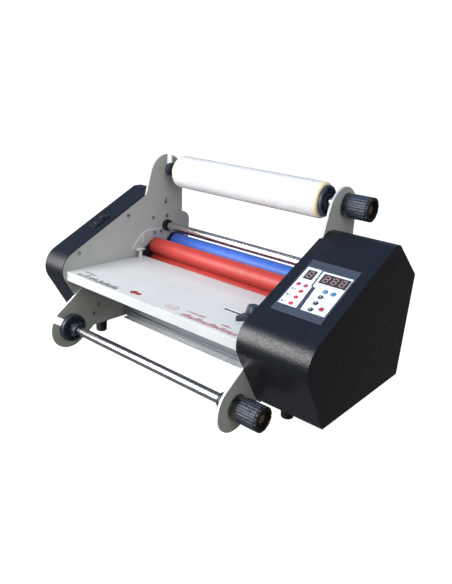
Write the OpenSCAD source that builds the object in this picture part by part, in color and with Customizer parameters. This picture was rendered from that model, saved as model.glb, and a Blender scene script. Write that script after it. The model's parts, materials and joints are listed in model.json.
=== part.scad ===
// Desktop roll laminator. X runs along the rollers, the feed table faces -Y, Z is up.
// The origin is on the floor, under the centre of the bounding box.

/* [Frame] */
// Clear width between the two side plates
plate_gap = 391; // [370:1:410]
// Thickness of the side plates and of the lower arms
plate_t = 4; // [3:0.5:5]
// Height of the rubber feet
foot_h = 38; // [38:1:50]
// Thickness of the sheet-metal covers and trays
sheet_t = 1.5; // [1:0.1:2]
// Width of the narrow cover on the left
left_cover_w = 46; // [44:1:60]
// Width of the drive cover on the right
right_cover_w = 112; // [112:1:130]

/* [Rollers] */
// Outer diameter of the silicone sleeves
roller_d = 32.7; // [32.5:0.1:32.9]
// Length of the silicone sleeves
sleeve_len = 372; // [340:1:372]
// Diameter of the hollow roller journals
journal_d = 18; // [16:1:18]
// Diameter of the chrome idler bar
idler_bar_d = 16; // [12:1:18]

/* [Gears] */
// Tooth module
gear_module = 1.5; // [1.5]
// Teeth on the roller gears
roller_teeth = 22; // [22]
// Teeth on the idler gear and on the motor pinion
idler_teeth = 16; // [16]
// Width of the gear faces
gear_w = 8; // [6:1:8]

/* [Film] */
// Diameter of the film shafts between the plates
shaft_d = 16; // [14:0.5:18]
// Diameter of the turned ends of the film shafts
neck_d = 13; // [12:0.5:13]
// Length of the film on its core
film_len = 321; // [280:1:325]
// Outer diameter of the film roll
film_d = 61.4; // [60:0.1:90]
// Diameter of the ribbed tension knobs
knob_d = 39; // [36:1:42]
// Length of the ribbed tension knobs
knob_len = 38; // [30:1:40]

/* [Table and panel] */
// Depth of the table's folded front edge
apron_h = 16.5; // [12:0.5:17]
// Width of the control panel
panel_w = 80.5; // [80:0.5:84]
// Length of the control panel down the slope
panel_len = 113; // [113:1:118]

/* [Hidden] */
$fn = 64;

// Places across the machine, measured from the middle of the gap between the plates.
inner = plate_gap / 2;
outer = inner + plate_t;
left_end = outer + left_cover_w;
right_end = outer + right_cover_w;
x_mid = (left_end - right_end) / 2;
eps = 0.01;
play = 0.05;

// Axes of everything that turns, as [y, z].
nip_z = foot_h + 113.5;
roller_pitch = gear_module * roller_teeth;
mesh_pitch = gear_module * (roller_teeth + idler_teeth) / 2;
front_y = 68.5;
rear_y = front_y + 2 * mesh_pitch;
lower_front = [front_y, nip_z - roller_pitch / 2];
upper_front = [front_y, nip_z + roller_pitch / 2];
lower_rear = [rear_y, nip_z - roller_pitch / 2];
upper_rear = [rear_y, nip_z + roller_pitch / 2];
idler_axis = [front_y + mesh_pitch, lower_front[1]];
pinion_angle = 240;
pinion_axis = lower_front + mesh_pitch * [cos(pinion_angle), sin(pinion_angle)];
bar_axis = [106.5, foot_h + 165];
upper_shaft_axis = [108.5, foot_h + 278];
lower_shaft_axis = [-134.5, foot_h + 7];

// Steel plates.
lobe_r = 40.5;
arm_angle = 35.6;
slot_angle = 147;
slot_half = neck_d / 2 + play;
bottom_z = foot_h;
plate_bottom_z = foot_h - 6.5;
rear_edge_y = 175;
table_top_z = nip_z - 1;
table_front_y = -140;
table_rear_y = 39.5;
cross_y = -3.5;
cross_lip = 13.5;
carrier_t = 3;
block_t = 5;
carrier_face = inner - carrier_t;
block_face = carrier_face - block_t;

// Corners as [y, z, radius], counter-clockwise seen from +X.
cover_back_y = 163;
cover_top_z = foot_h + 241.3;
cover_nose = [-163.5, foot_h + 125.26];
cover_nose_r = 36;
plate_inset = sheet_t + 0.3;
cover_crest = [62, cover_top_z];
cover_corners = [
    [-85, foot_h, 3], [cover_back_y, foot_h, 3], [cover_back_y, foot_h + 180, 4],
    [81, cover_top_z, 4], [cover_crest[0], cover_crest[1], 4], [cover_nose[0], cover_nose[1], cover_nose_r]
];
nose_index = 5;
plate_nose = inset(cover_corners, plate_inset)[nose_index];
plate_corners = [
    [-80, plate_bottom_z, 3], [rear_edge_y, plate_bottom_z, 6], [rear_edge_y, foot_h + 188, 22],
    [151.8, foot_h + 188, 0], [143.3, foot_h + 307.3, 44], [68, foot_h + 307.3, 44],
    [48.3, foot_h + 232.2, 4], plate_nose, [-82.8, foot_h, 0]
];
carrier_corners = [
    [16, foot_h + 126, 0], [44, foot_h + 126, 2], [44, foot_h + 78, 4], [153, foot_h + 78, 6],
    [153, foot_h + 152, 6], [97, foot_h + 152, 3], [94.5, foot_h + 159.5, 3], [56, foot_h + 161.5, 20],
    [41, foot_h + 158, 6], [16, foot_h + 132, 2]
];

// The slope of the covers carries the panel: local X across, Y up the slope, Z out of it.
slope = cover_crest - cover_nose;
slope_angle = atan2(slope[1], slope[0]);
slope_offset = 20.54;
slope_start = cover_nose + slope_offset * slope / norm(slope);
panel_x = 15;
panel_s = 50;
panel_t = 1;
board_z = -12.4;
board_t = 1.6;
switch_top_z = -9.6;
key_r = 3;
key_top_z = 1.9;
key_travel = 0.6;
level_down_pos = [68.6, 108.2];
level_up_pos = [81.3, 108.2];
mode_pos = [68, 96.3];
forward_pos = [68, 83.5];
reverse_pos = [68, 69.9];
stop_pos = [81.3, 75.9];
key_places = [level_down_pos, level_up_pos, mode_pos, forward_pos, reverse_pos, stop_pos];
led_places = [[24.5, 108], [36.6, 108], [36.2, 95.5], [36.2, 82.5], [36.2, 69.3]];
led_r = 1.6;
small_display = [23, 121, 14.5, 19.5];
large_display = [49, 120.7, 42.5, 20];

// Rocker switch in the left cover.
rocker_x = -outer - 22.5;
rocker_s = 112;
rocker_tilt = 7;
rocker_w = 12;
rocker_half = 12.5;
rocker_pivot_z = -1;

// Power inlet in the back of the left cover.
inlet_x = -outer - 22.5;
inlet_z = foot_h + 52;

// Side guide on the table.
guide_x = [146, 167];
guide_axis = [156.5, -58.5];
guide_h = 8;
guide_tip_y = -87;
guide_slot_w = 7;
guide_slot_x = [102, 176];

// Tension parts on the right-hand ends of the film shafts.
washer_t = 2;
upper_spring_len = 5.5;
lower_spring_len = 8.5;
gear_x = outer + 3.5;

function unit(v) = v / norm(v);
function span(c, h) = [c - h, c + h];
function from(a, length) = [a, a + length];
function yz(c) = [c[0], c[1]];
function polar(r, a) = r * [cos(a), sin(a)];
function wrap(a) = (a + 540) % 360 - 180;
function arc_between(o, r, a0, a1, n) = [for (i = [0:n]) o + polar(r, a0 + wrap(a1 - a0) * i / n)];
function corner_arc(a, b, c, r) =
    let (u = unit(a - b), v = unit(c - b), half = acos(u * v) / 2)
    let (o = b + unit(u + v) * r / sin(half), p = b + u * r / tan(half) - o, q = b + v * r / tan(half) - o)
    arc_between(o, r, atan2(p[1], p[0]), atan2(q[1], q[0]), r > 15 ? 20 : 6);
// Outline through corners given as [y, z, radius].
function rounded(c) =
    let (n = len(c))
    [for (i = [0:n - 1]) each (c[i][2] > 0
        ? corner_arc(yz(c[(i + n - 1) % n]), yz(c[i]), yz(c[(i + 1) % n]), c[i][2])
        : [yz(c[i])])];
// The same corners moved inwards by t, for a convex outline.
function inset(c, t) =
    let (n = len(c))
    [for (i = [0:n - 1])
        let (a = yz(c[(i + n - 1) % n]), b = yz(c[i]), d = yz(c[(i + 1) % n]))
        let (u = unit(a - b), v = unit(d - b))
        let (p = b + unit(u + v) * t / sin(acos(u * v) / 2))
        [p[0], p[1], max(c[i][2] - t, 0.5)]];

module placed() translate([x_mid, 0, 0]) children();
module slab(x0, x1) translate([x0, 0, 0]) rotate([90, 0, 90]) linear_extrude(x1 - x0) children();
module rod(x0, x1, r, axis) translate([x0, axis[0], axis[1]]) rotate([0, 90, 0]) cylinder(r = r, h = x1 - x0);
module tube(x0, x1, r_out, r_in, axis) difference() {
    rod(x0, x1, r_out, axis);
    rod(x0 - 1, x1 + 1, r_in, axis);
}
module block(x, y, z) translate([x[0], y[0], z[0]]) cube([x[1] - x[0], y[1] - y[0], z[1] - z[0]]);
module both_sides() for (side = [0, 1]) mirror([side, 0, 0]) children();
module on_slope(x = outer) translate([x, slope_start[0], slope_start[1]])
    rotate([slope_angle, 0, 0]) children();

// ---- Side plates, arms and cross members ----

cover_screw_places = [[-111.4, foot_h + 140.6], [3, foot_h + 195.7]];
plate_screw_places = [[69.1, foot_h + 183.9], [107.9, foot_h + 184.1]];
carrier_screw_places = [[71.5, foot_h + 153.9], [89.8, foot_h + 154.7]];
arm_screw_places = [[-69.6, foot_h + 34.2], [-81.4, foot_h + 19.2]];
screw_r = 2;

module plate_blank() slab(inner, outer) polygon(rounded(plate_corners));
module plate_holes() {
    for (p = concat(cover_screw_places, plate_screw_places, carrier_screw_places, arm_screw_places))
        rod(inner - 1, outer + 1, screw_r + play, p);
    for (p = [lower_front, upper_front, lower_rear, upper_rear])
        rod(inner - 1, outer + 1, journal_d / 2 + 0.6, p);
}
// Keyhole for hanging a film guard: a round hole with a narrow slot above it.
keyhole = [102.9, foot_h + 212];
module keyhole_cut() {
    rod(inner - 1, outer + 1, 4, keyhole);
    block([inner - 1, outer + 1], span(keyhole[0], 1.8), from(keyhole[1], 9));
}
module left_side_plate() color([0.66, 0.67, 0.66]) placed() mirror([1, 0, 0]) difference() {
    plate_blank();
    plate_holes();
    keyhole_cut();
    rod(inner - 1, outer + 1, slot_half, upper_shaft_axis);
    block([inner - 1, outer + 1], span(upper_shaft_axis[0], slot_half), from(upper_shaft_axis[1], 60));
}
idler_stud_r = 4;
module right_side_plate() color([0.66, 0.67, 0.66]) placed() {
    difference() {
        plate_blank();
        plate_holes();
        keyhole_cut();
        rod(inner - 1, outer + 1, slot_half, upper_shaft_axis);
    }
    rod(outer - 1, gear_x + gear_w + 1, idler_stud_r, idler_axis);
}

arm_along = [cos(arm_angle), sin(arm_angle)];
arm_side = [-sin(arm_angle), cos(arm_angle)];
arm_top_z = table_top_z - apron_h - 3;
arm_top_t = (arm_top_z - lower_shaft_axis[1] - lobe_r * arm_side[1]) / arm_along[1];
arm_back_y = cross_y - 2.5;
arm_low_t = (arm_back_y - lower_shaft_axis[0] + lobe_r * arm_side[0]) / arm_along[0];
module arm_blank() slab(inner - plate_t, inner) polygon(concat(
    [for (a = [arm_angle + 90:6:arm_angle + 270]) lower_shaft_axis + lobe_r * [cos(a), sin(a)]],
    [lower_shaft_axis - lobe_r * arm_side + arm_low_t * arm_along, [arm_back_y, arm_top_z],
        lower_shaft_axis + lobe_r * arm_side + arm_top_t * arm_along]));
module arm_screw_holes() for (p = arm_screw_places) rod(inner - plate_t - 1, inner + 1, screw_r + play, p);
// Open slot that the shaft's neck is lifted out through.
arm_slot = concat(
    arc_between(lower_shaft_axis, slot_half, slot_angle - 90, slot_angle + 90, 30),
    [for (side = [90, -90])
        lower_shaft_axis + polar(slot_half, slot_angle + side) + polar(lobe_r + 10, slot_angle)]);
module left_lower_arm() color([0.62, 0.63, 0.60]) placed() mirror([1, 0, 0]) difference() {
    arm_blank();
    arm_screw_holes();
    slab(inner - plate_t - 1, inner + 1) polygon(arm_slot);
}
module right_lower_arm() color([0.62, 0.63, 0.60]) placed() difference() {
    arm_blank();
    arm_screw_holes();
    rod(inner - plate_t - 1, inner + 1, slot_half, lower_shaft_axis);
}

member_hole_r = 2.5;
member_hole_x = inner - 12;
cross_low_z = bottom_z - 3;
lip_cut = 14;
module front_cross_member() color([0.60, 0.64, 0.68]) placed() difference() {
    union() {
        block([-inner, inner], [cross_y, cross_y + sheet_t], from(cross_low_z, arm_top_z - cross_low_z));
        block(span(0, inner - lip_cut), [cross_y - cross_lip, cross_y + eps], from(cross_low_z, sheet_t));
        both_sides() block([inner - sheet_t, inner], from(cross_y + 1, 13), [bottom_z + 4, arm_top_z - 6]);
    }
    both_sides() translate([member_hole_x, cross_y - 1, bottom_z + 8]) rotate([-90, 0, 0])
        cylinder(r = member_hole_r, h = 4);
}
rear_member_y = 156;
module rear_cross_member() color([0.60, 0.64, 0.68]) placed() {
    block([-inner, inner], [rear_member_y, rear_member_y + sheet_t], [bottom_z - 2, nip_z - 12]);
    block([-inner, inner], [rear_member_y + 1, rear_member_y + 14], [nip_z - 12 - sheet_t, nip_z - 12]);
    both_sides()
        block([inner - sheet_t, inner], [rear_member_y - 12, rear_member_y + 1], [bottom_z, nip_z - 40]);
}

// ---- Base trays, covers and feet ----

tray_y = [-81.5, cover_back_y - sheet_t - 0.3];
module tray(x0, x1) {
    block([x0, x1], tray_y, [bottom_z, bottom_z + sheet_t]);
    block([x0, x0 + sheet_t], tray_y, [bottom_z, bottom_z + 16]);
}
module left_base_tray() color([0.35, 0.36, 0.37]) placed() mirror([1, 0, 0])
    tray(outer, left_end - sheet_t - 0.2);
module right_base_tray() color([0.35, 0.36, 0.37]) placed() tray(outer, right_end - sheet_t - 0.2);

module cover_shell(x1) difference() {
    slab(outer, x1) polygon(rounded(cover_corners));
    slab(outer - 1, x1 - sheet_t) polygon(rounded(inset(cover_corners, sheet_t)));
    block([outer - 1, x1 - sheet_t], [-83, cover_back_y - sheet_t], [bottom_z - 1, bottom_z + 3]);
}
// Threaded lugs inside the slope, which the cover screws pull on.
lug_r = 14;
lug_len = 9;
module cover_lugs() for (p = cover_screw_places) difference() {
    intersection() {
        rod(outer, outer + lug_len, lug_r, p);
        slab(outer, outer + lug_len) polygon(rounded(inset(cover_corners, sheet_t / 2)));
    }
    rod(outer - 1, outer + lug_len + 1, screw_r + play, p);
}
// The cover's edge, folded over the side plate along the front and the slope.
fold_end_y = 44;
fold_x = inner + 0.3;
module cover_fold() difference() {
    slab(fold_x, outer + 1) polygon(rounded(cover_corners));
    slab(inner - 1, outer + 2) polygon(rounded(inset(cover_corners, sheet_t)));
    block([inner - 1, outer + 2], [fold_end_y, cover_back_y + 1], [bottom_z - 1, cover_top_z + 1]);
    block([inner - 1, outer + 2], [cover_nose[0], fold_end_y + 1], [bottom_z - 1, bottom_z + 4]);
}
module left_cover() color([0.07, 0.07, 0.08]) placed() difference() {
    mirror([1, 0, 0]) union() {
        cover_shell(left_end);
        cover_lugs();
        cover_fold();
    }
    on_slope(rocker_x) translate([-7.7, rocker_s - 15.7, -5]) cube([15.4, 31.4, 10]);
    block(span(inlet_x, 10.2), span(cover_back_y, 5), span(inlet_z, 14.2));
}
vent_count = 9;
module right_cover() color([0.07, 0.07, 0.08]) placed() difference() {
    union() {
        cover_shell(right_end);
        cover_lugs();
        cover_fold();
    }
    on_slope() translate([20, 62, -5]) cube([72.5, 84, 10]);
    for (i = [0:vent_count - 1])
        block(from(outer + 20 + 9 * i, 4), span(cover_back_y, 5), from(bottom_z + 60, 50));
}
foot_r = 13;
foot_x = outer + 25;
foot_ys = [-36, 135];
module rubber_feet() color([0.05, 0.05, 0.05]) placed() both_sides() for (y = foot_ys)
    translate([foot_x, y, 0]) cylinder(r1 = foot_r - 3, r2 = foot_r, h = foot_h);

// ---- Feed table and side guide ----

table_half = inner - 0.3;
table_mid_z = table_top_z - 6.5;
flange_half = 5.5;
notch_y = 14;
module feed_table() color([0.80, 0.81, 0.83]) placed() difference() {
    union() {
        block(span(0, table_half), [table_front_y, table_rear_y], from(table_top_z - sheet_t, sheet_t));
        block(span(0, table_half), from(table_front_y, sheet_t), [table_top_z - apron_h, table_top_z - 1]);
        both_sides()
            block(from(table_half - sheet_t, sheet_t), [table_front_y + 1, notch_y],
                span(table_mid_z, flange_half));
        block(span(0, 188), from(table_rear_y - sheet_t, sheet_t), span(table_mid_z, flange_half));
    }
    both_sides() block([inner - 4, inner + 1], [notch_y, table_rear_y + 1], span(table_top_z - 2, 3));
    block(guide_slot_x, span(guide_axis[1], guide_slot_w / 2), [table_top_z - 5, table_top_z + 1]);
}
guide_base_z = table_top_z + 0.3;
guide_screw_r = 3;
guide_back_y = -30;
guide_foot_x = [148, 166];
module side_guide() color([0.16, 0.18, 0.20]) placed() difference() {
    union() {
        translate([0, 0, guide_base_z]) linear_extrude(guide_h)
            polygon([[guide_x[0], guide_back_y], [guide_x[0], guide_tip_y], [guide_x[0] + 3, guide_tip_y + 1],
                [guide_x[1], guide_axis[1] - 4], [guide_x[1], guide_back_y]]);
        block(guide_foot_x, span(guide_axis[1], 3.4), [table_top_z - sheet_t - 2, guide_base_z + 1]);
        block(guide_foot_x, span(guide_axis[1], 7), [table_top_z - sheet_t - 3, table_top_z - sheet_t - 0.3]);
    }
    translate([guide_axis[0], guide_axis[1], guide_base_z + 0.5]) cylinder(r = guide_screw_r + play, h = 20);
}
knob_flutes = 6;
module guide_knob() color([0.13, 0.15, 0.17]) placed()
translate([guide_axis[0], guide_axis[1], guide_base_z]) {
    translate([0, 0, 0.8]) cylinder(r = guide_screw_r, h = 12);
    translate([0, 0, guide_h + 0.4]) cylinder(r = 7, h = 2);
    translate([0, 0, guide_h + 2]) difference() {
        cylinder(r1 = 12.5, r2 = 9, h = 11);
        for (i = [0:knob_flutes - 1]) rotate(i * 360 / knob_flutes)
            translate([14.5, 0, -1]) cylinder(r = 4.5, h = 13, $fn = 32);
    }
}

// ---- Roller carriers, bearings and rollers ----

lip_z = foot_h + 126;
module carrier() difference() {
    union() {
        slab(carrier_face, inner) polygon(rounded(carrier_corners));
        block([block_face - 4.5, inner], [20, 38], [lip_z, lip_z + 2]);
        block([carrier_face - 2.5, inner], [39, 42], [foot_h + 140, foot_h + 153]);
    }
    for (p = carrier_screw_places) rod(carrier_face - 1, inner + 1, screw_r + play, p);
    for (p = [lower_front, upper_front, lower_rear, upper_rear])
        rod(carrier_face - 1, inner + 1, journal_d / 2 + 0.6, p);
}
module left_roller_carrier() color([0.62, 0.64, 0.64]) placed() mirror([1, 0, 0]) carrier();
module right_roller_carrier() color([0.62, 0.64, 0.64]) placed() carrier();
module carrier_posts() color([0.92, 0.92, 0.90]) placed() both_sides()
    translate([inner - 8.5, 29, table_top_z]) cylinder(r = 3.3, h = lip_z - table_top_z);

block_w = 55;
bush_r = 11.5;
module bearing_block(y, top_z) slab(block_face, carrier_face) polygon(rounded([
    [y - block_w / 2, nip_z - 34, 3], [y + block_w / 2, nip_z - 34, 3], [y + block_w / 2, top_z, 6],
    [y - 8, top_z, 8], [y - block_w / 2, nip_z + 12, 6]]));
module bearing_blocks() color([0.04, 0.04, 0.045]) placed() both_sides() {
    difference() {
        union() {
            bearing_block(front_y, nip_z + 24);
            bearing_block(rear_y, nip_z + 34);
        }
        for (p = [lower_front, upper_front, lower_rear, upper_rear])
            rod(block_face - 1, carrier_face + 1, journal_d / 2 + play, p);
    }
    tube(block_face + 1, inner, bush_r, idler_bar_d / 2 + play, bar_axis);
}

sleeve_t = 2;
journal_bore_r = 6.5;
module roller_core(axis, right_reach) color([0.75, 0.76, 0.78]) placed() difference() {
    union() {
        rod(-sleeve_len / 2 - 0.5, sleeve_len / 2 + 0.5, roller_d / 2 - sleeve_t, axis);
        rod(-outer - 3, right_reach, journal_d / 2, axis);
    }
    rod(-outer - 4, right_reach + 1, journal_bore_r, axis);
}
module sleeve(axis) tube(-sleeve_len / 2, sleeve_len / 2, roller_d / 2, roller_d / 2 - sleeve_t, axis);
geared_reach = gear_x + gear_w + 2;
plain_reach = outer + 3;
module lower_front_core() roller_core(lower_front, geared_reach);
module upper_front_core() roller_core(upper_front, plain_reach);
module lower_rear_core() roller_core(lower_rear, geared_reach);
module upper_rear_core() roller_core(upper_rear, plain_reach);
module lower_front_sleeve() color([0.72, 0.12, 0.10]) placed() sleeve(lower_front);
module upper_front_sleeve() color([0.72, 0.12, 0.10]) placed() sleeve(upper_front);
module lower_rear_sleeve() color([0.12, 0.28, 0.66]) placed() sleeve(lower_rear);
module upper_rear_sleeve() color([0.12, 0.28, 0.66]) placed() sleeve(upper_rear);
module idler_bar() color([0.85, 0.86, 0.87]) placed()
    rod(-inner + 0.5, inner - 0.5, idler_bar_d / 2, bar_axis);

// ---- Gears: involute teeth with a little backlash ----

pressure_angle = 20;
backlash = 0.25;
function involute(rb, r) = let (a = acos(min(1, rb / r))) tan(a) * 180 / PI - a;
function half_tooth(z, r) =
    let (rp = gear_module * z / 2, rb = rp * cos(pressure_angle))
    90 / z - backlash / rp * 90 / PI + involute(rb, rp) - involute(rb, max(r, rb));
function gear_points(z, phase) =
    let (rp = gear_module * z / 2, rb = rp * cos(pressure_angle))
    let (ra = rp + 0.9 * gear_module, rf = rp - 1.2 * gear_module)
    let (radii = [for (i = [0:4]) rb + (ra - rb) * i / 4])
    [for (k = [0:z - 1]) let (c = phase + 360 * k / z) each concat(
        [polar(rf, c - half_tooth(z, rf))],
        [for (r = radii) polar(r, c - half_tooth(z, r))],
        [for (i = [4:-1:0]) polar(radii[i], c + half_tooth(z, radii[i]))],
        [polar(rf, c + half_tooth(z, rf))])];
// Phase of a gear of z2 teeth that meshes with one of z1 teeth and phase p1, in direction a.
function mesh_phase(z1, p1, z2, a) = a + 180 - (p1 - a) * z1 / z2 + 180 / z2;
front_phase = 0;
idler_phase = mesh_phase(roller_teeth, front_phase, idler_teeth, 0);
rear_phase = mesh_phase(idler_teeth, idler_phase, roller_teeth, 0);
pinion_phase = mesh_phase(roller_teeth, front_phase, idler_teeth, pinion_angle);
module gear(axis, z, phase, bore_r) placed() difference() {
    translate([0, axis[0], axis[1]]) slab(gear_x, gear_x + gear_w) polygon(gear_points(z, phase));
    rod(gear_x - 1, gear_x + gear_w + 1, bore_r, axis);
}
module lower_front_gear() color([0.62, 0.60, 0.55])
    gear(lower_front, roller_teeth, front_phase, journal_d / 2);
module lower_rear_gear() color([0.62, 0.60, 0.55]) gear(lower_rear, roller_teeth, rear_phase, journal_d / 2);
module idler_gear() color([0.88, 0.87, 0.82]) gear(idler_axis, idler_teeth, idler_phase, idler_stud_r + play);
pinion_shaft_r = 3;
gearbox_x = outer + 22;
module motor_pinion() color([0.70, 0.66, 0.50]) {
    gear(pinion_axis, idler_teeth, pinion_phase, pinion_shaft_r);
    placed() rod(gear_x - 1, gearbox_x + 12, pinion_shaft_r, pinion_axis);
}

// ---- Drive and electrics inside the right cover ----

tray_top = bottom_z + sheet_t;
module gear_motor() color([0.45, 0.47, 0.50]) placed() difference() {
    union() {
        block([gearbox_x, gearbox_x + 28], [14, 76], [tray_top, foot_h + 88]);
        rod(gearbox_x + 27, gearbox_x + 84, 25, [45, foot_h + 52]);
        rod(gearbox_x + 83, gearbox_x + 87, 8, [45, foot_h + 52]);
    }
    rod(gearbox_x - 1, gearbox_x + 14, pinion_shaft_r + play, pinion_axis);
}
module display_box(d, z0, z1) translate([d[0], d[1], z0]) cube([d[2], d[3], z1 - z0]);
module control_board() color([0.10, 0.35, 0.18]) placed() on_slope() {
    translate([10, 44, board_z]) cube([91, 126, board_t]);
    for (p = key_places)
        translate([p[0], p[1], board_z + 1]) cylinder(r = 3.4, h = switch_top_z - board_z - 1);
    display_box(small_display, board_z + 1, -0.2);
    display_box(large_display, board_z + 1, -0.2);
    for (p = [[14, 50], [97, 50], [14, 160], [97, 160]])
        translate([p[0], p[1], board_z + 1]) cylinder(r = 3, h = -sheet_t - board_z - 1);
}
module control_panel() color([0.42, 0.50, 0.58]) placed() on_slope() difference() {
    translate([panel_x, panel_s, 0]) cube([panel_w, panel_len, panel_t]);
    for (p = key_places) translate([p[0], p[1], -1]) cylinder(r = key_r + play, h = 4);
    for (p = led_places) translate([p[0], p[1], -1]) cylinder(r = led_r + play, h = 4);
}
module display_windows() color([0.16, 0.05, 0.06]) placed() on_slope() {
    display_box(small_display, panel_t, panel_t + 0.7);
    display_box(large_display, panel_t, panel_t + 0.7);
}
module indicator_leds() color([0.85, 0.12, 0.20]) placed() on_slope() for (p = led_places)
    translate([p[0], p[1], board_z + board_t]) cylinder(r = led_r, h = panel_t + 0.8 - board_z - board_t);
module key(pos) placed() on_slope() translate([pos[0], pos[1], 0]) {
    translate([0, 0, -0.4]) cylinder(r = key_r, h = key_top_z + 0.4);
    translate([0, 0, -1.4]) cylinder(r = key_r + 1, h = 1.2);
    translate([0, 0, switch_top_z + key_travel + 0.1])
        cylinder(r = 1.2, h = -1.2 - switch_top_z - key_travel);
}
module level_down_key() color([0.20, 0.50, 0.68]) key(level_down_pos);
module level_up_key() color([0.20, 0.50, 0.68]) key(level_up_pos);
module mode_key() color([0.05, 0.05, 0.06]) key(mode_pos);
module forward_key() color([0.05, 0.05, 0.06]) key(forward_pos);
module reverse_key() color([0.05, 0.05, 0.06]) key(reverse_pos);
module stop_key() color([0.78, 0.08, 0.10]) key(stop_pos);

// ---- Switch and inlet in the left cover ----

rocker_pin_r = 1.5;
module rocker_pin(reach, r) translate([-reach, 0, 0]) rotate([0, 90, 0]) cylinder(r = r, h = 2 * reach);
module switch_housing() color([0.05, 0.05, 0.055]) placed() on_slope(rocker_x)
translate([0, rocker_s, 0]) difference() {
    union() {
        translate([-9.5, -19.5, 0]) cube([19, 39, 1.8]);
        translate([-7.5, -15.5, -16]) cube([15, 31, 17]);
    }
    translate([-6.3, -13.6, -10]) cube([12.6, 27.2, 20]);
    translate([0, 0, rocker_pivot_z]) rocker_pin(7.2, rocker_pin_r + play);
}
module power_rocker() color([0.03, 0.03, 0.035]) placed() on_slope(rocker_x)
    translate([0, rocker_s, rocker_pivot_z]) rotate([rocker_tilt, 0, 0]) {
        translate([-rocker_w / 2, 0, 0]) slab(0, rocker_w)
            polygon([[-rocker_half, -2.5], [rocker_half, -2.5], [rocker_half, 5], [0, 3], [-rocker_half, 5]]);
        rocker_pin(7, rocker_pin_r);
    }
module power_inlet() color([0.05, 0.05, 0.055]) placed()
translate([inlet_x, cover_back_y, inlet_z]) difference() {
    union() {
        translate([-11, 0, -24]) cube([22, 2.5, 48]);
        translate([-10, -24, -14]) cube([20, 25, 28]);
    }
    translate([-7.5, -14, -11.5]) cube([15, 20, 23]);
}
screw_head_r = 3.6;
screw_head_t = 2.2;
module screw(p, head_x, length) {
    rod(head_x - screw_head_t, head_x, screw_head_r, p);
    rod(head_x - 0.5, head_x + length, screw_r, p);
}
module machine_screws() color([0.14, 0.14, 0.15]) placed() both_sides() {
    for (p = cover_screw_places) screw(p, inner, plate_t + lug_len - 1);
    for (p = plate_screw_places) screw(p, inner, plate_t);
    for (p = carrier_screw_places) screw(p, carrier_face, plate_t + carrier_t);
    for (p = arm_screw_places) screw(p, inner - plate_t, 2 * plate_t);
}

// ---- Film shafts ----

shaft_half = inner - 1;
upper_washer_x = outer + washer_t + upper_spring_len;
lower_washer_x = inner + washer_t + lower_spring_len;
upper_knob_x = upper_washer_x + washer_t;
lower_knob_x = lower_washer_x + washer_t;
knob_recess = 7;
friction_r = 20;
washer_bore_r = neck_d / 2 + 2 * play;
module film_shaft(axis, half, left_reach, right_reach) {
    rod(-half, half, shaft_d / 2, axis);
    rod(-left_reach, right_reach, neck_d / 2, axis);
    rod(-left_reach - 4, -left_reach, neck_d / 2 + 3, axis);
}
module upper_film_shaft() color([0.72, 0.73, 0.75]) placed()
    film_shaft(upper_shaft_axis, shaft_half, outer + 3, upper_knob_x + knob_len - 4);
module lower_film_shaft() color([0.72, 0.73, 0.75]) placed()
    film_shaft(lower_shaft_axis, shaft_half - plate_t, inner + 3, lower_knob_x + knob_len - 4);
module upper_shaft_collar() color([0.05, 0.05, 0.06]) placed()
    tube(-shaft_half, -shaft_half + collar_len, 12.5, shaft_d / 2, upper_shaft_axis);
collar_len = 7;
core_out_r = 27.5;
core_in_r = 25.4;
core_proud = 1;
film_left_x = 0.5 - film_len / 2;
film_right_x = 0.5 + film_len / 2;
plug_depth = 30;
plug_proud = 6.5;
module core_plugs() color([0.04, 0.04, 0.05]) placed() {
    tube(film_left_x - core_proud, film_left_x + plug_depth, core_in_r, shaft_d / 2, upper_shaft_axis);
    tube(film_right_x - plug_depth, film_right_x + plug_proud, core_in_r, shaft_d / 2, upper_shaft_axis);
}
module cardboard_core() color([0.78, 0.68, 0.52]) placed()
    tube(film_left_x - core_proud, film_right_x + core_proud, core_out_r, core_in_r, upper_shaft_axis);
// The outer laps are narrower, so both ends of the roll have a rounded shoulder.
shoulder_len = 9;
shoulder_steps = 8;
film_edge_r = 28.2;
function shoulder(x, side) = [for (i = [0:shoulder_steps]) let (a = 90 * i / shoulder_steps)
    [film_edge_r + (film_d / 2 - film_edge_r) * sin(a), x + side * shoulder_len * (1 - cos(a))]];
film_profile = concat([[core_out_r, film_left_x]], shoulder(film_left_x, 1),
    [for (i = [shoulder_steps:-1:0]) shoulder(film_right_x, -1)[i]], [[core_out_r, film_right_x]]);
module film_roll() color([0.93, 0.93, 0.92]) placed() translate([0, upper_shaft_axis[0], upper_shaft_axis[1]])
    rotate([0, 90, 0]) rotate_extrude() polygon(film_profile);
module lower_core_chucks() color([0.05, 0.05, 0.06]) placed() both_sides() {
    tube(inner - 15.5, inner - 6, 25, shaft_d / 2, lower_shaft_axis);
    tube(inner - 29, inner - 15.4, 11, shaft_d / 2, lower_shaft_axis);
}

// ---- Tension springs, washers and knobs ----

module friction_washers() color([0.70, 0.71, 0.72]) placed() {
    tube(outer, outer + washer_t, friction_r, washer_bore_r, upper_shaft_axis);
    tube(inner, inner + washer_t, friction_r, washer_bore_r, lower_shaft_axis);
}
wire_r = 0.65;
spring_r = 11;
ring_sides = 8;
steps_per_turn = 20;
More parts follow.
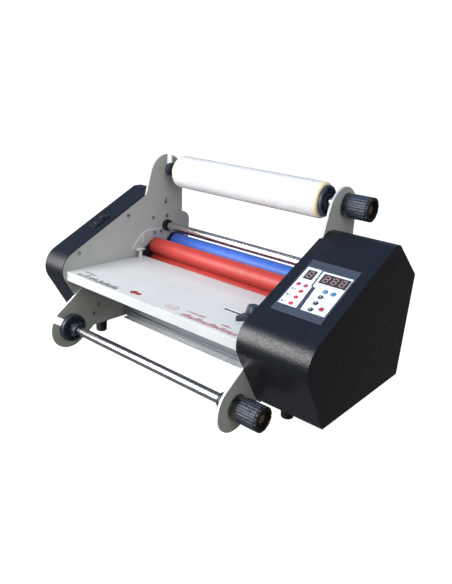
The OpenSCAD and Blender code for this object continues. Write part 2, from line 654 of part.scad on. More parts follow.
// A round-wire coil: rings of points along a helix, joined by quadrilaterals.
module coil_spring(x0, length, turns, axis) {
    n = turns * steps_per_turn;
    travel = length - 2 * wire_r - 0.2;
    points = [for (i = [0:n], j = [0:ring_sides - 1])
        let (a = 360 * i / steps_per_turn, b = 360 * j / ring_sides, r = spring_r + wire_r * cos(b))
        [x0 + wire_r + 0.1 + travel * i / n + wire_r * sin(b), axis[0] + r * cos(a), axis[1] + r * sin(a)]];
    sides = [for (i = [0:n - 1], j = [0:ring_sides - 1])
        let (k = (j + 1) % ring_sides)
        [ring_sides * i + j, ring_sides * i + k, ring_sides * (i + 1) + k, ring_sides * (i + 1) + j]];
    first = [for (j = [ring_sides - 1:-1:0]) j];
    last = [for (j = [0:ring_sides - 1]) ring_sides * n + j];
    polyhedron(points = points, faces = concat(sides, [first, last]));
}
module upper_tension_spring() color([0.75, 0.76, 0.78]) placed()
    coil_spring(outer + washer_t, upper_spring_len, 2, upper_shaft_axis);
module lower_tension_spring() color([0.75, 0.76, 0.78]) placed()
    coil_spring(inner + washer_t, lower_spring_len, 3, lower_shaft_axis);
module upper_pressure_washer() color([0.70, 0.71, 0.72]) placed()
    tube(upper_washer_x, upper_knob_x, 15, washer_bore_r, upper_shaft_axis);
module lower_pressure_washer() color([0.70, 0.71, 0.72]) placed()
    tube(lower_washer_x, lower_knob_x, 15, washer_bore_r, lower_shaft_axis);
knob_ribs = 24;
rib_h = 0.9;
function rib_radius(i) = i % 4 < 2 ? knob_d / 2 : knob_d / 2 - rib_h;
module tension_knob(x0, axis) difference() {
    translate([0, axis[0], axis[1]]) slab(x0 + play, x0 + knob_len)
        polygon([for (i = [0:4 * knob_ribs - 1]) polar(rib_radius(i), i * 90 / knob_ribs)]);
    rod(x0 - 1, x0 + knob_len + 1, neck_d / 2 + play, axis);
    rod(x0 + knob_len - knob_recess, x0 + knob_len + 1, 14, axis);
}
module upper_tension_knob() color([0.10, 0.12, 0.15]) placed() tension_knob(upper_knob_x, upper_shaft_axis);
module lower_tension_knob() color([0.10, 0.12, 0.15]) placed() tension_knob(lower_knob_x, lower_shaft_axis);

left_side_plate();
right_side_plate();
left_lower_arm();
right_lower_arm();
front_cross_member();
rear_cross_member();
left_base_tray();
right_base_tray();
left_cover();
right_cover();
feed_table();
rubber_feet();
machine_screws();
left_roller_carrier();
right_roller_carrier();
carrier_posts();
bearing_blocks();
friction_washers();
control_panel();
display_windows();
indicator_leds();
control_board();
switch_housing();
power_inlet();
gear_motor();
side_guide();
guide_knob();
power_rocker();
level_down_key();
level_up_key();
mode_key();
forward_key();
reverse_key();
stop_key();
lower_front_core();
lower_front_sleeve();
upper_front_core();
upper_front_sleeve();
lower_rear_core();
lower_rear_sleeve();
upper_rear_core();
upper_rear_sleeve();
lower_front_gear();
lower_rear_gear();
idler_gear();
motor_pinion();
idler_bar();
upper_film_shaft();
upper_shaft_collar();
core_plugs();
cardboard_core();
film_roll();
upper_tension_spring();
upper_pressure_washer();
upper_tension_knob();
lower_film_shaft();
lower_core_chucks();
lower_tension_spring();
lower_pressure_washer();
lower_tension_knob();
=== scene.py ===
"""Desktop roll laminator: the looks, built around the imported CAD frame. All lengths are in metres."""

import bpy
import bmesh
import json
import math
import random
from mathutils import Matrix, Vector

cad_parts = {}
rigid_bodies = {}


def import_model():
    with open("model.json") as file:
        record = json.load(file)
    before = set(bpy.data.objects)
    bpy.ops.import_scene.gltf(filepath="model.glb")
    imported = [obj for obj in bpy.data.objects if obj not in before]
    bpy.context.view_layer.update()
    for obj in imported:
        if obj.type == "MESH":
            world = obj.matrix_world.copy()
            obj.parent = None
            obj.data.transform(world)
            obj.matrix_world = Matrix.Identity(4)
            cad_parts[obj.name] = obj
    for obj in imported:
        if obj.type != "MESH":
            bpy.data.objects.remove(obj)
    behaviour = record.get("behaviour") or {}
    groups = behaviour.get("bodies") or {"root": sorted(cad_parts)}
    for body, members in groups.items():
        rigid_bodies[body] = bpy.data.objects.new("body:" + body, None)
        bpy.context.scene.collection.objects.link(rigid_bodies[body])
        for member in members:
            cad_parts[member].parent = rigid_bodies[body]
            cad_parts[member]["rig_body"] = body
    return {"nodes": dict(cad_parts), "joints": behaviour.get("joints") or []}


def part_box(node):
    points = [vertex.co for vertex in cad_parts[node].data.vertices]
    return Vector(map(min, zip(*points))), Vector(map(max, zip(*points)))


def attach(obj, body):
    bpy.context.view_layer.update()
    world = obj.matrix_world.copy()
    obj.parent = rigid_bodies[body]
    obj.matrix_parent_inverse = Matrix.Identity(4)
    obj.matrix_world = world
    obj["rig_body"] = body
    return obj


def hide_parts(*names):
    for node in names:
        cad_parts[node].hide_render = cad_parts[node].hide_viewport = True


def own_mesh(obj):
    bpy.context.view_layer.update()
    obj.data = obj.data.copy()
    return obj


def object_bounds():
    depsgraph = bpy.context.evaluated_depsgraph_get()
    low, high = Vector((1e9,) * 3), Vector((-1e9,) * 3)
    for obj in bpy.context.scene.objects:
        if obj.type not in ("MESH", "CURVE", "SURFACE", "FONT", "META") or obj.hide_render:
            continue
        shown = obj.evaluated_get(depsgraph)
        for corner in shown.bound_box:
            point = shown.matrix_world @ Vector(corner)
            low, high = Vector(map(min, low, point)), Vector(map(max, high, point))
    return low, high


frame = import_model()
cad_low, cad_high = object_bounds()

MM = 0.001
TURN = 2 * math.pi
ON_AXIS = 1e-7  # a profile's radius under this lies on the axis
NODES = frame["nodes"]
JOINTS = {joint["name"]: joint for joint in frame["joints"]}


# ---- Materials ----

FACE_NORMAL = 0.6  # a sheet's face has at least this much of its normal along the axis it stands across


def lit(color, factor):
    """The colour made lighter or darker, kept under white."""
    return [min(channel * factor, 1.0) for channel in color] + [1.0]


class Look:
    """One Principled material, with its texture space in metres on the object."""

    def __init__(self, name, roughness, metallic=0.0, stretch=(1, 1, 1)):
        self.material = bpy.data.materials.new(name)
        self.material.use_nodes = True
        self.tree = self.material.node_tree
        self.shader = self.tree.nodes["Principled BSDF"]
        self.shader.inputs["Roughness"].default_value = roughness
        self.shader.inputs["Metallic"].default_value = metallic
        self.roughness = roughness
        coordinates = self.add("ShaderNodeTexCoord")
        self.mapping = self.add("ShaderNodeMapping")
        self.mapping.inputs["Scale"].default_value = stretch
        self.join(coordinates.outputs["Object"], self.mapping.inputs["Vector"])

    def add(self, kind):
        return self.tree.nodes.new(kind)

    def join(self, source, target):
        self.tree.links.new(source, target)

    def set(self, **values):
        """Constant values on the shader's own sockets, such as Coat_Weight=0.3."""
        for name, value in values.items():
            self.shader.inputs[name.replace("_", " ")].default_value = value
        return self

    def noise(self, size, detail=3.0, rough=0.5):
        """Noise whose features are about size metres across."""
        node = self.add("ShaderNodeTexNoise")
        node.inputs["Scale"].default_value = 1.0 / size
        node.inputs["Detail"].default_value = detail
        node.inputs["Roughness"].default_value = rough
        self.join(self.mapping.outputs["Vector"], node.inputs["Vector"])
        return node.outputs["Fac"]

    def mottle(self, color, size, amount, detail=4.0, edge=None, stands="X"):
        """Base colour that varies by amount over patches of a size, with the painted highlight colour edge
        on a sheet's edges.
        """
        ramp = self.add("ShaderNodeValToRGB")
        ramp.color_ramp.elements[0].position = 0.3
        ramp.color_ramp.elements[0].color = lit(color, 1 - amount)
        ramp.color_ramp.elements[1].position = 0.7
        ramp.color_ramp.elements[1].color = lit(color, 1 + amount)
        self.join(self.noise(size, detail), ramp.inputs["Fac"])
        color_out = ramp.outputs["Color"]
        if edge:
            color_out = self.painted_edge_highlight(color_out, edge, stands)
        self.join(color_out, self.shader.inputs["Base Color"])
        return self

    def painted_edge_highlight(self, face_color, edge, stands="X"):
        """Painted highlight: the edge colour wherever a metal sheet that stands across the named axis
        shows its thickness, standing in for light caught on its edges.
        """
        coordinates = self.add("ShaderNodeTexCoord")
        split = self.add("ShaderNodeSeparateXYZ")
        size = self.add("ShaderNodeMath")
        size.operation = "ABSOLUTE"
        below = self.add("ShaderNodeMath")
        below.operation = "LESS_THAN"
        below.inputs[1].default_value = FACE_NORMAL
        mix = self.add("ShaderNodeMix")
        mix.data_type = "RGBA"
        mix.inputs["B"].default_value = lit(edge, 1.0)
        self.join(coordinates.outputs["Normal"], split.inputs["Vector"])
        self.join(split.outputs[stands], size.inputs[0])
        self.join(size.outputs[0], below.inputs[0])
        self.join(below.outputs[0], mix.inputs["Factor"])
        self.join(face_color, mix.inputs["A"])
        return mix.outputs["Result"]

    def smudge(self, size, spread):
        """Roughness that varies by spread over patches of the given size."""
        span = self.add("ShaderNodeMapRange")
        span.inputs["From Min"].default_value = 0.3
        span.inputs["From Max"].default_value = 0.7
        span.inputs["To Min"].default_value = max(self.roughness - spread, 0.02)
        span.inputs["To Max"].default_value = min(self.roughness + spread, 1.0)
        self.join(self.noise(size, 5.0), span.inputs["Value"])
        self.join(span.outputs["Result"], self.shader.inputs["Roughness"])
        return self

    def grain(self, height, depth, strength):
        """Bump from a height output, depth metres deep."""
        bump = self.add("ShaderNodeBump")
        bump.inputs["Strength"].default_value = strength
        bump.inputs["Distance"].default_value = depth
        self.join(height, bump.inputs["Height"])
        self.join(bump.outputs["Normal"], self.shader.inputs["Normal"])
        return self


def powder_coat(name, color, roughness=0.42, depth=0.00006, edge=None, stands="X"):
    look = Look(name, roughness)
    look.mottle(color, 0.05, 0.035, 4.0, edge, stands)
    look.smudge(0.03, 0.06)
    return look.grain(look.noise(0.0009, 2.0), depth, 0.45).material


def hammered_black(name):
    """Black textured powder coat with a cold sheen, which glitters where light grazes it."""
    look = Look(name, 0.36)
    look.mottle((0.0032, 0.0043, 0.0085), 0.02, 0.12)
    look.smudge(0.004, 0.10)
    look.set(Specular_IOR_Level=0.55)
    return look.grain(look.noise(0.0019, 3.0, 0.6), 0.00035, 0.75).material


def moulded(name, color, roughness=0.45, size=0.0006, amount=0.10):
    look = Look(name, roughness)
    look.mottle(color, 0.012, amount)
    look.smudge(0.01, 0.08)
    return look.grain(look.noise(size, 2.0), 0.00004, 0.4).material


def turned_metal(name, color, roughness=0.22, amount=0.06):
    """Metal turned about X: fine rings, seen as streaks across the highlight."""
    look = Look(name, roughness, 1.0, (1.0, 0.03, 0.03))
    look.mottle(color, 0.0015, amount)
    look.smudge(0.0008, 0.07)
    return look.grain(look.noise(0.0004, 2.0), 0.00001, 0.35).material


def plated(name, color, roughness=0.25):
    look = Look(name, roughness, 1.0)
    look.mottle(color, 0.006, 0.10)
    look.smudge(0.003, 0.10)
    return look.grain(look.noise(0.0008, 3.0), 0.00002, 0.3).material


def silicone(name, color):
    """Ground silicone rubber: soft sheen, faint grinding rings and dust."""
    look = Look(name, 0.46, 0.0, (1.0, 0.15, 0.15))
    look.mottle(color, 0.02, 0.07)
    look.smudge(0.006, 0.06)
    look.set(Sheen_Weight=0.08, Sheen_Roughness=0.4, Subsurface_Weight=0.04, Subsurface_Scale=0.002)
    return look.grain(look.noise(0.0005, 3.0), 0.00003, 0.4).material


def rubber(name, color):
    look = Look(name, 0.75)
    look.mottle(color, 0.008, 0.2)
    return look.grain(look.noise(0.0007, 4.0), 0.00008, 0.5).material


def wound_film(name):
    """Translucent film on its roll: milky, glossy, with faint bands along it."""
    look = Look(name, 0.30, 0.0, (0.35, 1.0, 1.0))
    look.mottle((0.68, 0.685, 0.695), 0.03, 0.008)
    look.smudge(0.02, 0.08)
    look.set(Subsurface_Weight=0.25, Subsurface_Scale=0.006, Coat_Weight=0.4, Coat_Roughness=0.15)
    # Painted light: a faint emission brightens the film beyond what the lamps give it.
    look.set(Emission_Color=(0.95, 0.96, 1.0, 1.0), Emission_Strength=0.02)
    return look.grain(look.noise(0.006, 2.0), 0.0001, 0.25).material


def cardboard(name):
    look = Look(name, 0.8, 0.0, (1.0, 0.4, 0.4))
    look.mottle((0.70, 0.56, 0.38), 0.004, 0.12)
    return look.grain(look.noise(0.001, 5.0), 0.0001, 0.5).material


def printed(name, color, roughness=0.5):
    look = Look(name, roughness)
    look.mottle(color, 0.004, 0.06)
    return look.grain(look.noise(0.0004, 2.0), 0.00001, 0.3).material


def lens(name, color, glow):
    look = Look(name, 0.12)
    look.mottle(color, 0.003, 0.08)
    look.smudge(0.002, 0.04)
    look.set(Coat_Weight=0.6, Coat_Roughness=0.05, Emission_Strength=glow)
    look.set(Emission_Color=lit(color, 1.0))
    return look.material


# Painted highlight: a near-white colour on the edges of carriers and arms, standing in for light that
# their rounded edges catch.
EDGE_HIGHLIGHT_PAINT = (0.86, 0.87, 0.86)
PLATE = powder_coat("plate_grey", (0.43, 0.445, 0.435))
CARRIER = powder_coat("carrier_grey", (0.43, 0.445, 0.44), edge=EDGE_HIGHLIGHT_PAINT)
ARM = powder_coat("arm_grey", (0.36, 0.37, 0.34), edge=EDGE_HIGHLIGHT_PAINT)
# Painted light: faces that don't face along Y, such as the lower lip's top, get a near-white painted
# highlight, and the darker face colour is painted shade under the table.
MEMBER = powder_coat("member_grey", (0.25, 0.28, 0.31), edge=(0.92, 0.94, 0.95), stands="Y")
TABLE = powder_coat("table_grey", (0.60, 0.615, 0.62), 0.34, 0.00003)
TRAY = powder_coat("tray_grey", (0.06, 0.065, 0.07))
COVER = hammered_black("cover_black")
BLACK = moulded("black_plastic", (0.012, 0.013, 0.016), 0.42)
SLATE = moulded("knob_slate", (0.026, 0.036, 0.054), 0.48, 0.0010, 0.12)
PALE_SLATE = moulded("collar_slate", (0.060, 0.080, 0.105), 0.45, 0.0010, 0.15)
GUIDE = moulded("guide_slate", (0.040, 0.050, 0.062), 0.42)
GLOSS_BLACK = moulded("rocker_black", (0.008, 0.008, 0.010), 0.22)
NYLON = moulded("white_nylon", (0.76, 0.76, 0.73), 0.38)
RUBBER = rubber("foot_rubber", (0.018, 0.018, 0.018))
ZINC = plated("zinc", (0.62, 0.63, 0.63))
BRASS = plated("brass", (0.30, 0.19, 0.10), 0.38)
DARK_STEEL = plated("dark_screw", (0.035, 0.035, 0.038), 0.35)
ROLLER_STEEL = turned_metal("roller_steel", (0.60, 0.61, 0.63), 0.28)
GEAR_STEEL = turned_metal("gear_steel", (0.40, 0.39, 0.36), 0.38, 0.15)
SHAFT_STEEL = turned_metal("shaft_steel", (0.70, 0.69, 0.68), 0.20)
CHROME = turned_metal("chrome_bar", (0.70, 0.68, 0.66), 0.17, 0.02)
RED = silicone("silicone_red", (0.46, 0.036, 0.028))
BLUE = silicone("silicone_blue", (0.065, 0.185, 0.72))
FILM = wound_film("clear_film")
CARDBOARD = cardboard("cardboard")
FILM_EDGE = moulded("film_edge", (0.80, 0.66, 0.50), 0.45, 0.002, 0.06)
MOTOR = powder_coat("motor_grey", (0.16, 0.17, 0.19))
BOARD = printed("board_green", (0.02, 0.11, 0.04), 0.35)
OVERLAY = printed("panel_overlay", (0.040, 0.053, 0.078), 0.48)
FIELD = printed("panel_field", (0.70, 0.76, 0.84), 0.45)
PALE_MARK = printed("switch_mark", (0.16, 0.16, 0.17), 0.5)
MAGENTA = printed("lamp_ring_magenta", (0.34, 0.02, 0.12), 0.45)
RING_RED = printed("lamp_ring_red", (0.45, 0.02, 0.02), 0.45)
INK = printed("panel_ink", (0.015, 0.018, 0.030), 0.5)
DISPLAY = moulded("display_red", (0.055, 0.035, 0.038), 0.16, 0.003)
DIGIT = lens("display_digit", (0.46, 0.36, 0.38), 0.10)
LAMP = lens("lamp_red", (0.62, 0.030, 0.085), 0.15)
KEY_BLUE = moulded("key_blue", (0.055, 0.25, 0.45), 0.30)
KEY_BLACK = moulded("key_black", (0.012, 0.013, 0.018), 0.30)
KEY_RED = moulded("key_red", (0.50, 0.018, 0.030), 0.30)
TABLE_INK = printed("table_ink", (0.020, 0.018, 0.020), 0.5)
TABLE_RED = printed("table_red", (0.30, 0.020, 0.022), 0.5)


# ---- Mesh helpers ----

def place_along(direction, origin):
    """Matrix that takes local X to direction and the origin to origin."""
    turn = Vector(direction).normalized().to_track_quat("X", "Z").to_matrix().to_4x4()
    return Matrix.Translation(Vector(origin)) @ turn


def softened(profile, radius, steps=3):
    """A closed (x, r) profile with its corners rounded, apart from those on the axis."""
    rounded = []
    for i, corner in enumerate(profile):
        point = Vector(corner)
        if point.y < ON_AXIS:
            rounded.append(point)
            continue
        before = Vector(profile[i - 1]) - point
        after = Vector(profile[(i + 1) % len(profile)]) - point
        cut = min(radius, 0.45 * before.length, 0.45 * after.length)
        start = point + before.normalized() * cut
        end = point + after.normalized() * cut
        for k in range(steps + 1):
            t = k / steps
            rounded.append((1 - t) ** 2 * start + 2 * t * (1 - t) * point + t * t * end)
    return rounded


def revolve(bm, profile, place, steps=96, radius=None):
    """Turns a closed (x, r) profile about place's X axis. radius(x, r, angle) may reshape it."""
    rings = []
    for k in range(steps):
        angle = TURN * k / steps
        ring = []
        for x, r in profile:
            reach = radius(x, r, angle) if radius else r
            local = Vector((x, reach * math.cos(angle), reach * math.sin(angle)))
            ring.append(bm.verts.new(place @ local))
        rings.append(ring)
    count = len(profile)
    for k in range(steps):
        here, there = rings[k], rings[(k + 1) % steps]
        for i in range(count):
            j = (i + 1) % count
            if profile[i][1] > ON_AXIS or profile[j][1] > ON_AXIS:
                bm.faces.new((here[i], here[j], there[j], there[i]))
    bmesh.ops.remove_doubles(bm, verts=bm.verts, dist=ON_AXIS)


def prism(bm, outline, place, low, high):
    """Closed prism over a local XY outline, between local heights low and high."""
    bottom = [bm.verts.new(place @ Vector((x, y, low))) for x, y in outline]
    top = [bm.verts.new(place @ Vector((x, y, high))) for x, y in outline]
    bm.faces.new(list(reversed(bottom)))
    bm.faces.new(top)
    for i in range(len(outline)):
        j = (i + 1) % len(outline)
        bm.faces.new((bottom[i], bottom[j], top[j], top[i]))


def rectangle(x, y, w, h):
    return [(x, y), (x + w, y), (x + w, y + h), (x, y + h)]


def ring_part(x, y, r_in, r_out, start, end):
    """Four corners of a flat ring's part between two angles."""
    corners = ((r_in, start), (r_out, start), (r_out, end), (r_in, end))
    return [(x + r * math.cos(angle), y + r * math.sin(angle)) for r, angle in corners]


def piece(name, bm, material, node, stands_for=(), smooth=32, bevel=0.0):
    """Makes the object with the given material, on the body of a CAD node."""
    bmesh.ops.recalc_face_normals(bm, faces=bm.faces)
    mesh = bpy.data.meshes.new(name)
    bm.to_mesh(mesh)
    bm.free()
    mesh.materials.append(material)
    obj = bpy.data.objects.new(name, mesh)
    bpy.context.scene.collection.objects.link(obj)
    mesh.polygons.foreach_set("use_smooth", [True] * len(mesh.polygons))
    mesh.set_sharp_from_angle(angle=math.radians(smooth))
    if bevel:
        soften(obj, bevel)
    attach(obj, NODES[node]["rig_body"])
    for other in stands_for:
        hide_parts(other)
    return obj


SHARP_ANGLE = math.radians(38)


def soften(obj, width, segments=2):
    """Rounds the sharp edges, as folding, moulding or paint leaves them."""
    weld = obj.modifiers.new("weld", "WELD")
    weld.merge_threshold = 1e-6
    bevel = obj.modifiers.new("bevel", "BEVEL")
    bevel.width = width
    bevel.segments = segments
    bevel.limit_method = "ANGLE"
    bevel.angle_limit = SHARP_ANGLE
    bevel.harden_normals = False
    normals = obj.modifiers.new("normals", "WEIGHTED_NORMAL")
    normals.keep_sharp = False


def dress(node, material, bevel=0.0):
    """A CAD node that stays: its material, and rounded edges."""
    obj = NODES[node]
    obj.data.materials.clear()
    obj.data.materials.append(material)
    if bevel:
        soften(obj, bevel)


def solids(node):
    """(low, high) corners of each separate solid in a CAD node."""
    bm = bmesh.new()
    bm.from_mesh(NODES[node].data)
    bmesh.ops.remove_doubles(bm, verts=bm.verts, dist=1e-6)
    left = set(bm.verts)
    found = []
    while left:
        seed = left.pop()
        group = [seed]
        front = [seed]
        while front:
            for edge in front.pop().link_edges:
                for vert in edge.verts:
                    if vert in left:
                        left.remove(vert)
                        group.append(vert)
                        front.append(vert)
        low = Vector([min(v.co[i] for v in group) for i in range(3)])
        high = Vector([max(v.co[i] for v in group) for i in range(3)])
        found.append((low, high))
    bm.free()
    return sorted(found, key=lambda box: tuple(round(c, 4) for c in box[0]))


def axis_of(box):
    """(place, radius) of something round about X: its place has X along the world's X."""
    low, high = box
    return Matrix.Translation((0, (low.y + high.y) / 2, (low.z + high.z) / 2)), (high.z - low.z) / 2


# ---- Sheet metal, moulded blocks and inner parts: CAD shapes with softened edges ----

for node, material, edge_width in [
    ("left_side_plate", PLATE, 0.5 * MM),
    ("right_side_plate", PLATE, 0.5 * MM),
    ("left_lower_arm", ARM, 0.5 * MM),
    ("right_lower_arm", ARM, 0.5 * MM),
    ("front_cross_member", MEMBER, 0.4 * MM),
    ("rear_cross_member", MEMBER, 0.4 * MM),
    ("left_base_tray", TRAY, 0.4 * MM),
    ("right_base_tray", TRAY, 0.4 * MM),
    ("left_cover", COVER, 0.6 * MM),
    ("right_cover", COVER, 0.6 * MM),
    ("feed_table", TABLE, 0.5 * MM),
    ("left_roller_carrier", CARRIER, 0.5 * MM),
    ("right_roller_carrier", CARRIER, 0.5 * MM),
    ("carrier_posts", NYLON, 0.5 * MM),
    ("bearing_blocks", BLACK, 0.5 * MM),
    ("control_panel", OVERLAY, 0.2 * MM),
    ("display_windows", DISPLAY, 0.2 * MM),
    ("control_board", BOARD, 0.2 * MM),
    ("switch_housing", BLACK, 0.5 * MM),
    ("power_inlet", BLACK, 0.5 * MM),
    ("gear_motor", MOTOR, 0.8 * MM),
    ("side_guide", GUIDE, 0.6 * MM),
    ("lower_front_core", ROLLER_STEEL, 0.4 * MM),
    ("upper_front_core", ROLLER_STEEL, 0.4 * MM),
    ("lower_rear_core", ROLLER_STEEL, 0.4 * MM),
    ("upper_rear_core", ROLLER_STEEL, 0.4 * MM),
    ("lower_front_gear", GEAR_STEEL, 0.12 * MM),
    ("lower_rear_gear", GEAR_STEEL, 0.12 * MM),
    ("idler_gear", NYLON, 0.12 * MM),
    ("motor_pinion", GEAR_STEEL, 0.12 * MM),
]:
    dress(node, material, edge_width)


# ---- Rollers, idler bar and washers ----

def turned(node, material, profile, place, edge, steps=128):
    """A round piece that stands for a CAD node."""
    bm = bmesh.new()
    revolve(bm, softened(profile, edge), place, steps)
    return piece(node + "_turned", bm, material, node, [node])


def ring_profile(x0, x1, r_out, r_in):
    return [(x0, r_in), (x0, r_out), (x1, r_out), (x1, r_in)]


SLEEVE_T = 2 * MM
for node, material in [
    ("lower_front_sleeve", RED),
    ("upper_front_sleeve", RED),
    ("lower_rear_sleeve", BLUE),
    ("upper_rear_sleeve", BLUE),
]:
    low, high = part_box(node)
    place, radius = axis_of((low, high))
    turned(node, material, ring_profile(low.x, high.x, radius, radius - SLEEVE_T), place, 0.8 * MM)

low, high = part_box("idler_bar")
place, radius = axis_of((low, high))
turned("idler_bar", CHROME, [(low.x, 0), (low.x, radius), (high.x, radius), (high.x, 0)], place, 0.8 * MM)

WASHER_BORE = 6.6 * MM
for node in ["friction_washers", "upper_pressure_washer", "lower_pressure_washer"]:
    bm = bmesh.new()
    for low, high in solids(node):
        place, radius = axis_of((low, high))
        revolve(bm, softened(ring_profile(low.x, high.x, radius, WASHER_BORE), 0.35 * MM), place)
    piece(node + "_turned", bm, ZINC, node, [node])


# ---- Film shafts ----

SHAFT_R = 8 * MM
NECK_R = 6.5 * MM
COLLAR_R = 9.5 * MM
COLLAR_T = 4 * MM
SHOULDER_GAP = 1 * MM


def film_shaft(node, left_wall, right_wall):
    """Ground shaft with turned necks, an end collar at the left and a centre dish at the right."""
    low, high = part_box(node)
    place = Matrix.Translation((0, (low.y + high.y) / 2, (low.z + high.z) / 2))
    left = left_wall + SHOULDER_GAP
    right = right_wall - SHOULDER_GAP
    profile = [
        (low.x, 0), (low.x, COLLAR_R), (low.x + COLLAR_T, COLLAR_R), (low.x + COLLAR_T, NECK_R),
        (left, NECK_R), (left, SHAFT_R), (right, SHAFT_R), (right, NECK_R), (high.x, NECK_R),
        (high.x, 3 * MM), (high.x - 2 * MM, 0),
    ]
    turned(node, SHAFT_STEEL, profile, place, 0.6 * MM)


film_shaft("upper_film_shaft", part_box("left_side_plate")[1].x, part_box("right_side_plate")[0].x)
film_shaft("lower_film_shaft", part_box("left_lower_arm")[1].x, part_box("right_lower_arm")[0].x)

low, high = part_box("upper_shaft_collar")
place, radius = axis_of((low, high))
middle = (low.x + high.x) / 2
GROOVE_HALF = 1 * MM
GROOVE_DEPTH = 1.2 * MM
collar = ring_profile(low.x, high.x, radius, SHAFT_R)
collar[2:2] = [
    (middle - GROOVE_HALF, radius), (middle - GROOVE_HALF, radius - GROOVE_DEPTH),
    (middle + GROOVE_HALF, radius - GROOVE_DEPTH), (middle + GROOVE_HALF, radius),
]
turned("upper_shaft_collar", PALE_SLATE, collar, place, 0.5 * MM)


# ---- Film supply ----

def spoked_hub(bm, place, size, spokes, width):
    """Hub, rim and spokes. size names the radii and lengths, with local X pointing out of the face."""
    thick, deep, tall = size["thick"], size["recess"], size["hub_len"]
    outer, inner, hub, bore = size["rim_r"], size["recess_r"], size["hub_r"], size["bore_r"]
    profile = [
        (0, bore), (0, outer), (thick, outer), (thick, inner), (thick - deep, inner),
        (thick - deep, hub), (tall, hub), (tall, bore),
    ]
    revolve(bm, softened(profile, 0.7 * MM), place, 120)
    overlap = 0.4 * MM
    for k in range(spokes):
        turn = Matrix.Rotation(TURN * k / spokes, 4, "X")
        spoke = rectangle(thick - deep - overlap, hub - overlap, deep, inner - hub + 2 * overlap)
        prism(bm, spoke, place @ turn, -width / 2, width / 2)


def outward(box, sign):
    """Place with local X along sign times X, starting at the box's far end from there."""
    low, high = box
    start = low.x if sign > 0 else high.x
    return place_along((sign, 0, 0), (start, (low.y + high.y) / 2, (low.z + high.z) / 2))


bm = bmesh.new()
plugs = solids("core_plugs")
for box, sign in [(plugs[0], -1), (plugs[-1], 1)]:
    low, high = box
    length = high.x - low.x
    size = {
        "thick": length, "recess": 8 * MM, "hub_len": length - 1 * MM, "rim_r": (high.z - low.z) / 2,
        "recess_r": 21 * MM, "hub_r": 12 * MM, "bore_r": SHAFT_R,
    }
    spoked_hub(bm, outward(box, sign), size, 6, 2.4 * MM)
piece("core_plugs_moulded", bm, SLATE, "core_plugs", ["core_plugs"])

bm = bmesh.new()
chucks = solids("lower_core_chucks")
for box, sign in [(chucks[0], 1), (chucks[-1], -1)]:
    low, high = box
    size = {
        "thick": 9.5 * MM, "recess": 6 * MM, "hub_len": high.x - low.x, "rim_r": (high.z - low.z) / 2,
        "recess_r": 21 * MM, "hub_r": 11 * MM, "bore_r": SHAFT_R,
    }
    spoked_hub(bm, outward(box, sign), size, 8, 1.8 * MM)
    for k in range(4):
        fin = rectangle(9 * MM, 10.5 * MM, 10 * MM, 3.5 * MM)
        turn = Matrix.Rotation(TURN * (k + 0.5) / 4, 4, "X")
        prism(bm, fin, outward(box, sign) @ turn, -1 * MM, 1 * MM)
piece("lower_core_chucks_moulded", bm, SLATE, "lower_core_chucks", ["lower_core_chucks"])

low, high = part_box("cardboard_core")
place, core_radius = axis_of((low, high))
core_bore = (plugs[0][1].z - plugs[0][0].z) / 2
turned("cardboard_core", CARDBOARD, ring_profile(low.x, high.x, core_radius, core_bore), place, 0.5 * MM)

FILM_STATIONS = 90
SHOULDER_STATIONS = 14
SHOULDER = 9 * MM
LAP_GROOVE = 0.10 * MM
FLAP_ANGLE = math.radians(205)
FLAP_STEP = 0.16 * MM
SLACK = 0.05 * MM
SURFACE_DROP = 0.15 * MM


def film_surface(x, r, angle):
    """Slack in the outer laps, and the step where the film's free end lies."""
    if r < film_radius - 0.3 * MM:
        return r
    ripple = math.sin(9 * x / 0.1 + 2 * angle) * math.sin(3 * angle + 40 * x)
    lap = ((angle - FLAP_ANGLE) % TURN) / TURN
    return r - SURFACE_DROP + SLACK * ripple - FLAP_STEP * lap


film_low, film_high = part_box("film_roll")
film_place, film_radius = axis_of((film_low, film_high))
edge_radius = core_radius + 0.7 * MM
edge_profile = [(0, core_radius)]
for k in range(SHOULDER_STATIONS + 1):
    turn = math.pi / 2 * k / SHOULDER_STATIONS
    inset = SHOULDER * (1 - math.cos(turn)) + LAP_GROOVE * (k % 2)
    edge_profile.append((inset, edge_radius + (film_radius - edge_radius) * math.sin(turn)))
profile = [(film_low.x + inset, r) for inset, r in edge_profile]
for k in range(1, FILM_STATIONS):
    along = film_low.x + SHOULDER + (film_high.x - film_low.x - 2 * SHOULDER) * k / FILM_STATIONS
    profile.append((along, film_radius))
profile += [(film_high.x - inset, r) for inset, r in reversed(edge_profile)]
bm = bmesh.new()
revolve(bm, profile, film_place, 160, film_surface)
film = piece("film_roll_wound", bm, FILM, "film_roll", ["film_roll"], 30)
film.data.materials.append(FILM_EDGE)
beige_low = film_low.x + 0.5 * SHOULDER
beige_high = film_high.x - 0.93 * SHOULDER
for face in film.data.polygons:
    if not beige_low <= face.center.x <= beige_high:
        face.material_index = 1


# ---- Film brakes: springs and ribbed knobs ----

WIRE_R = 0.65 * MM


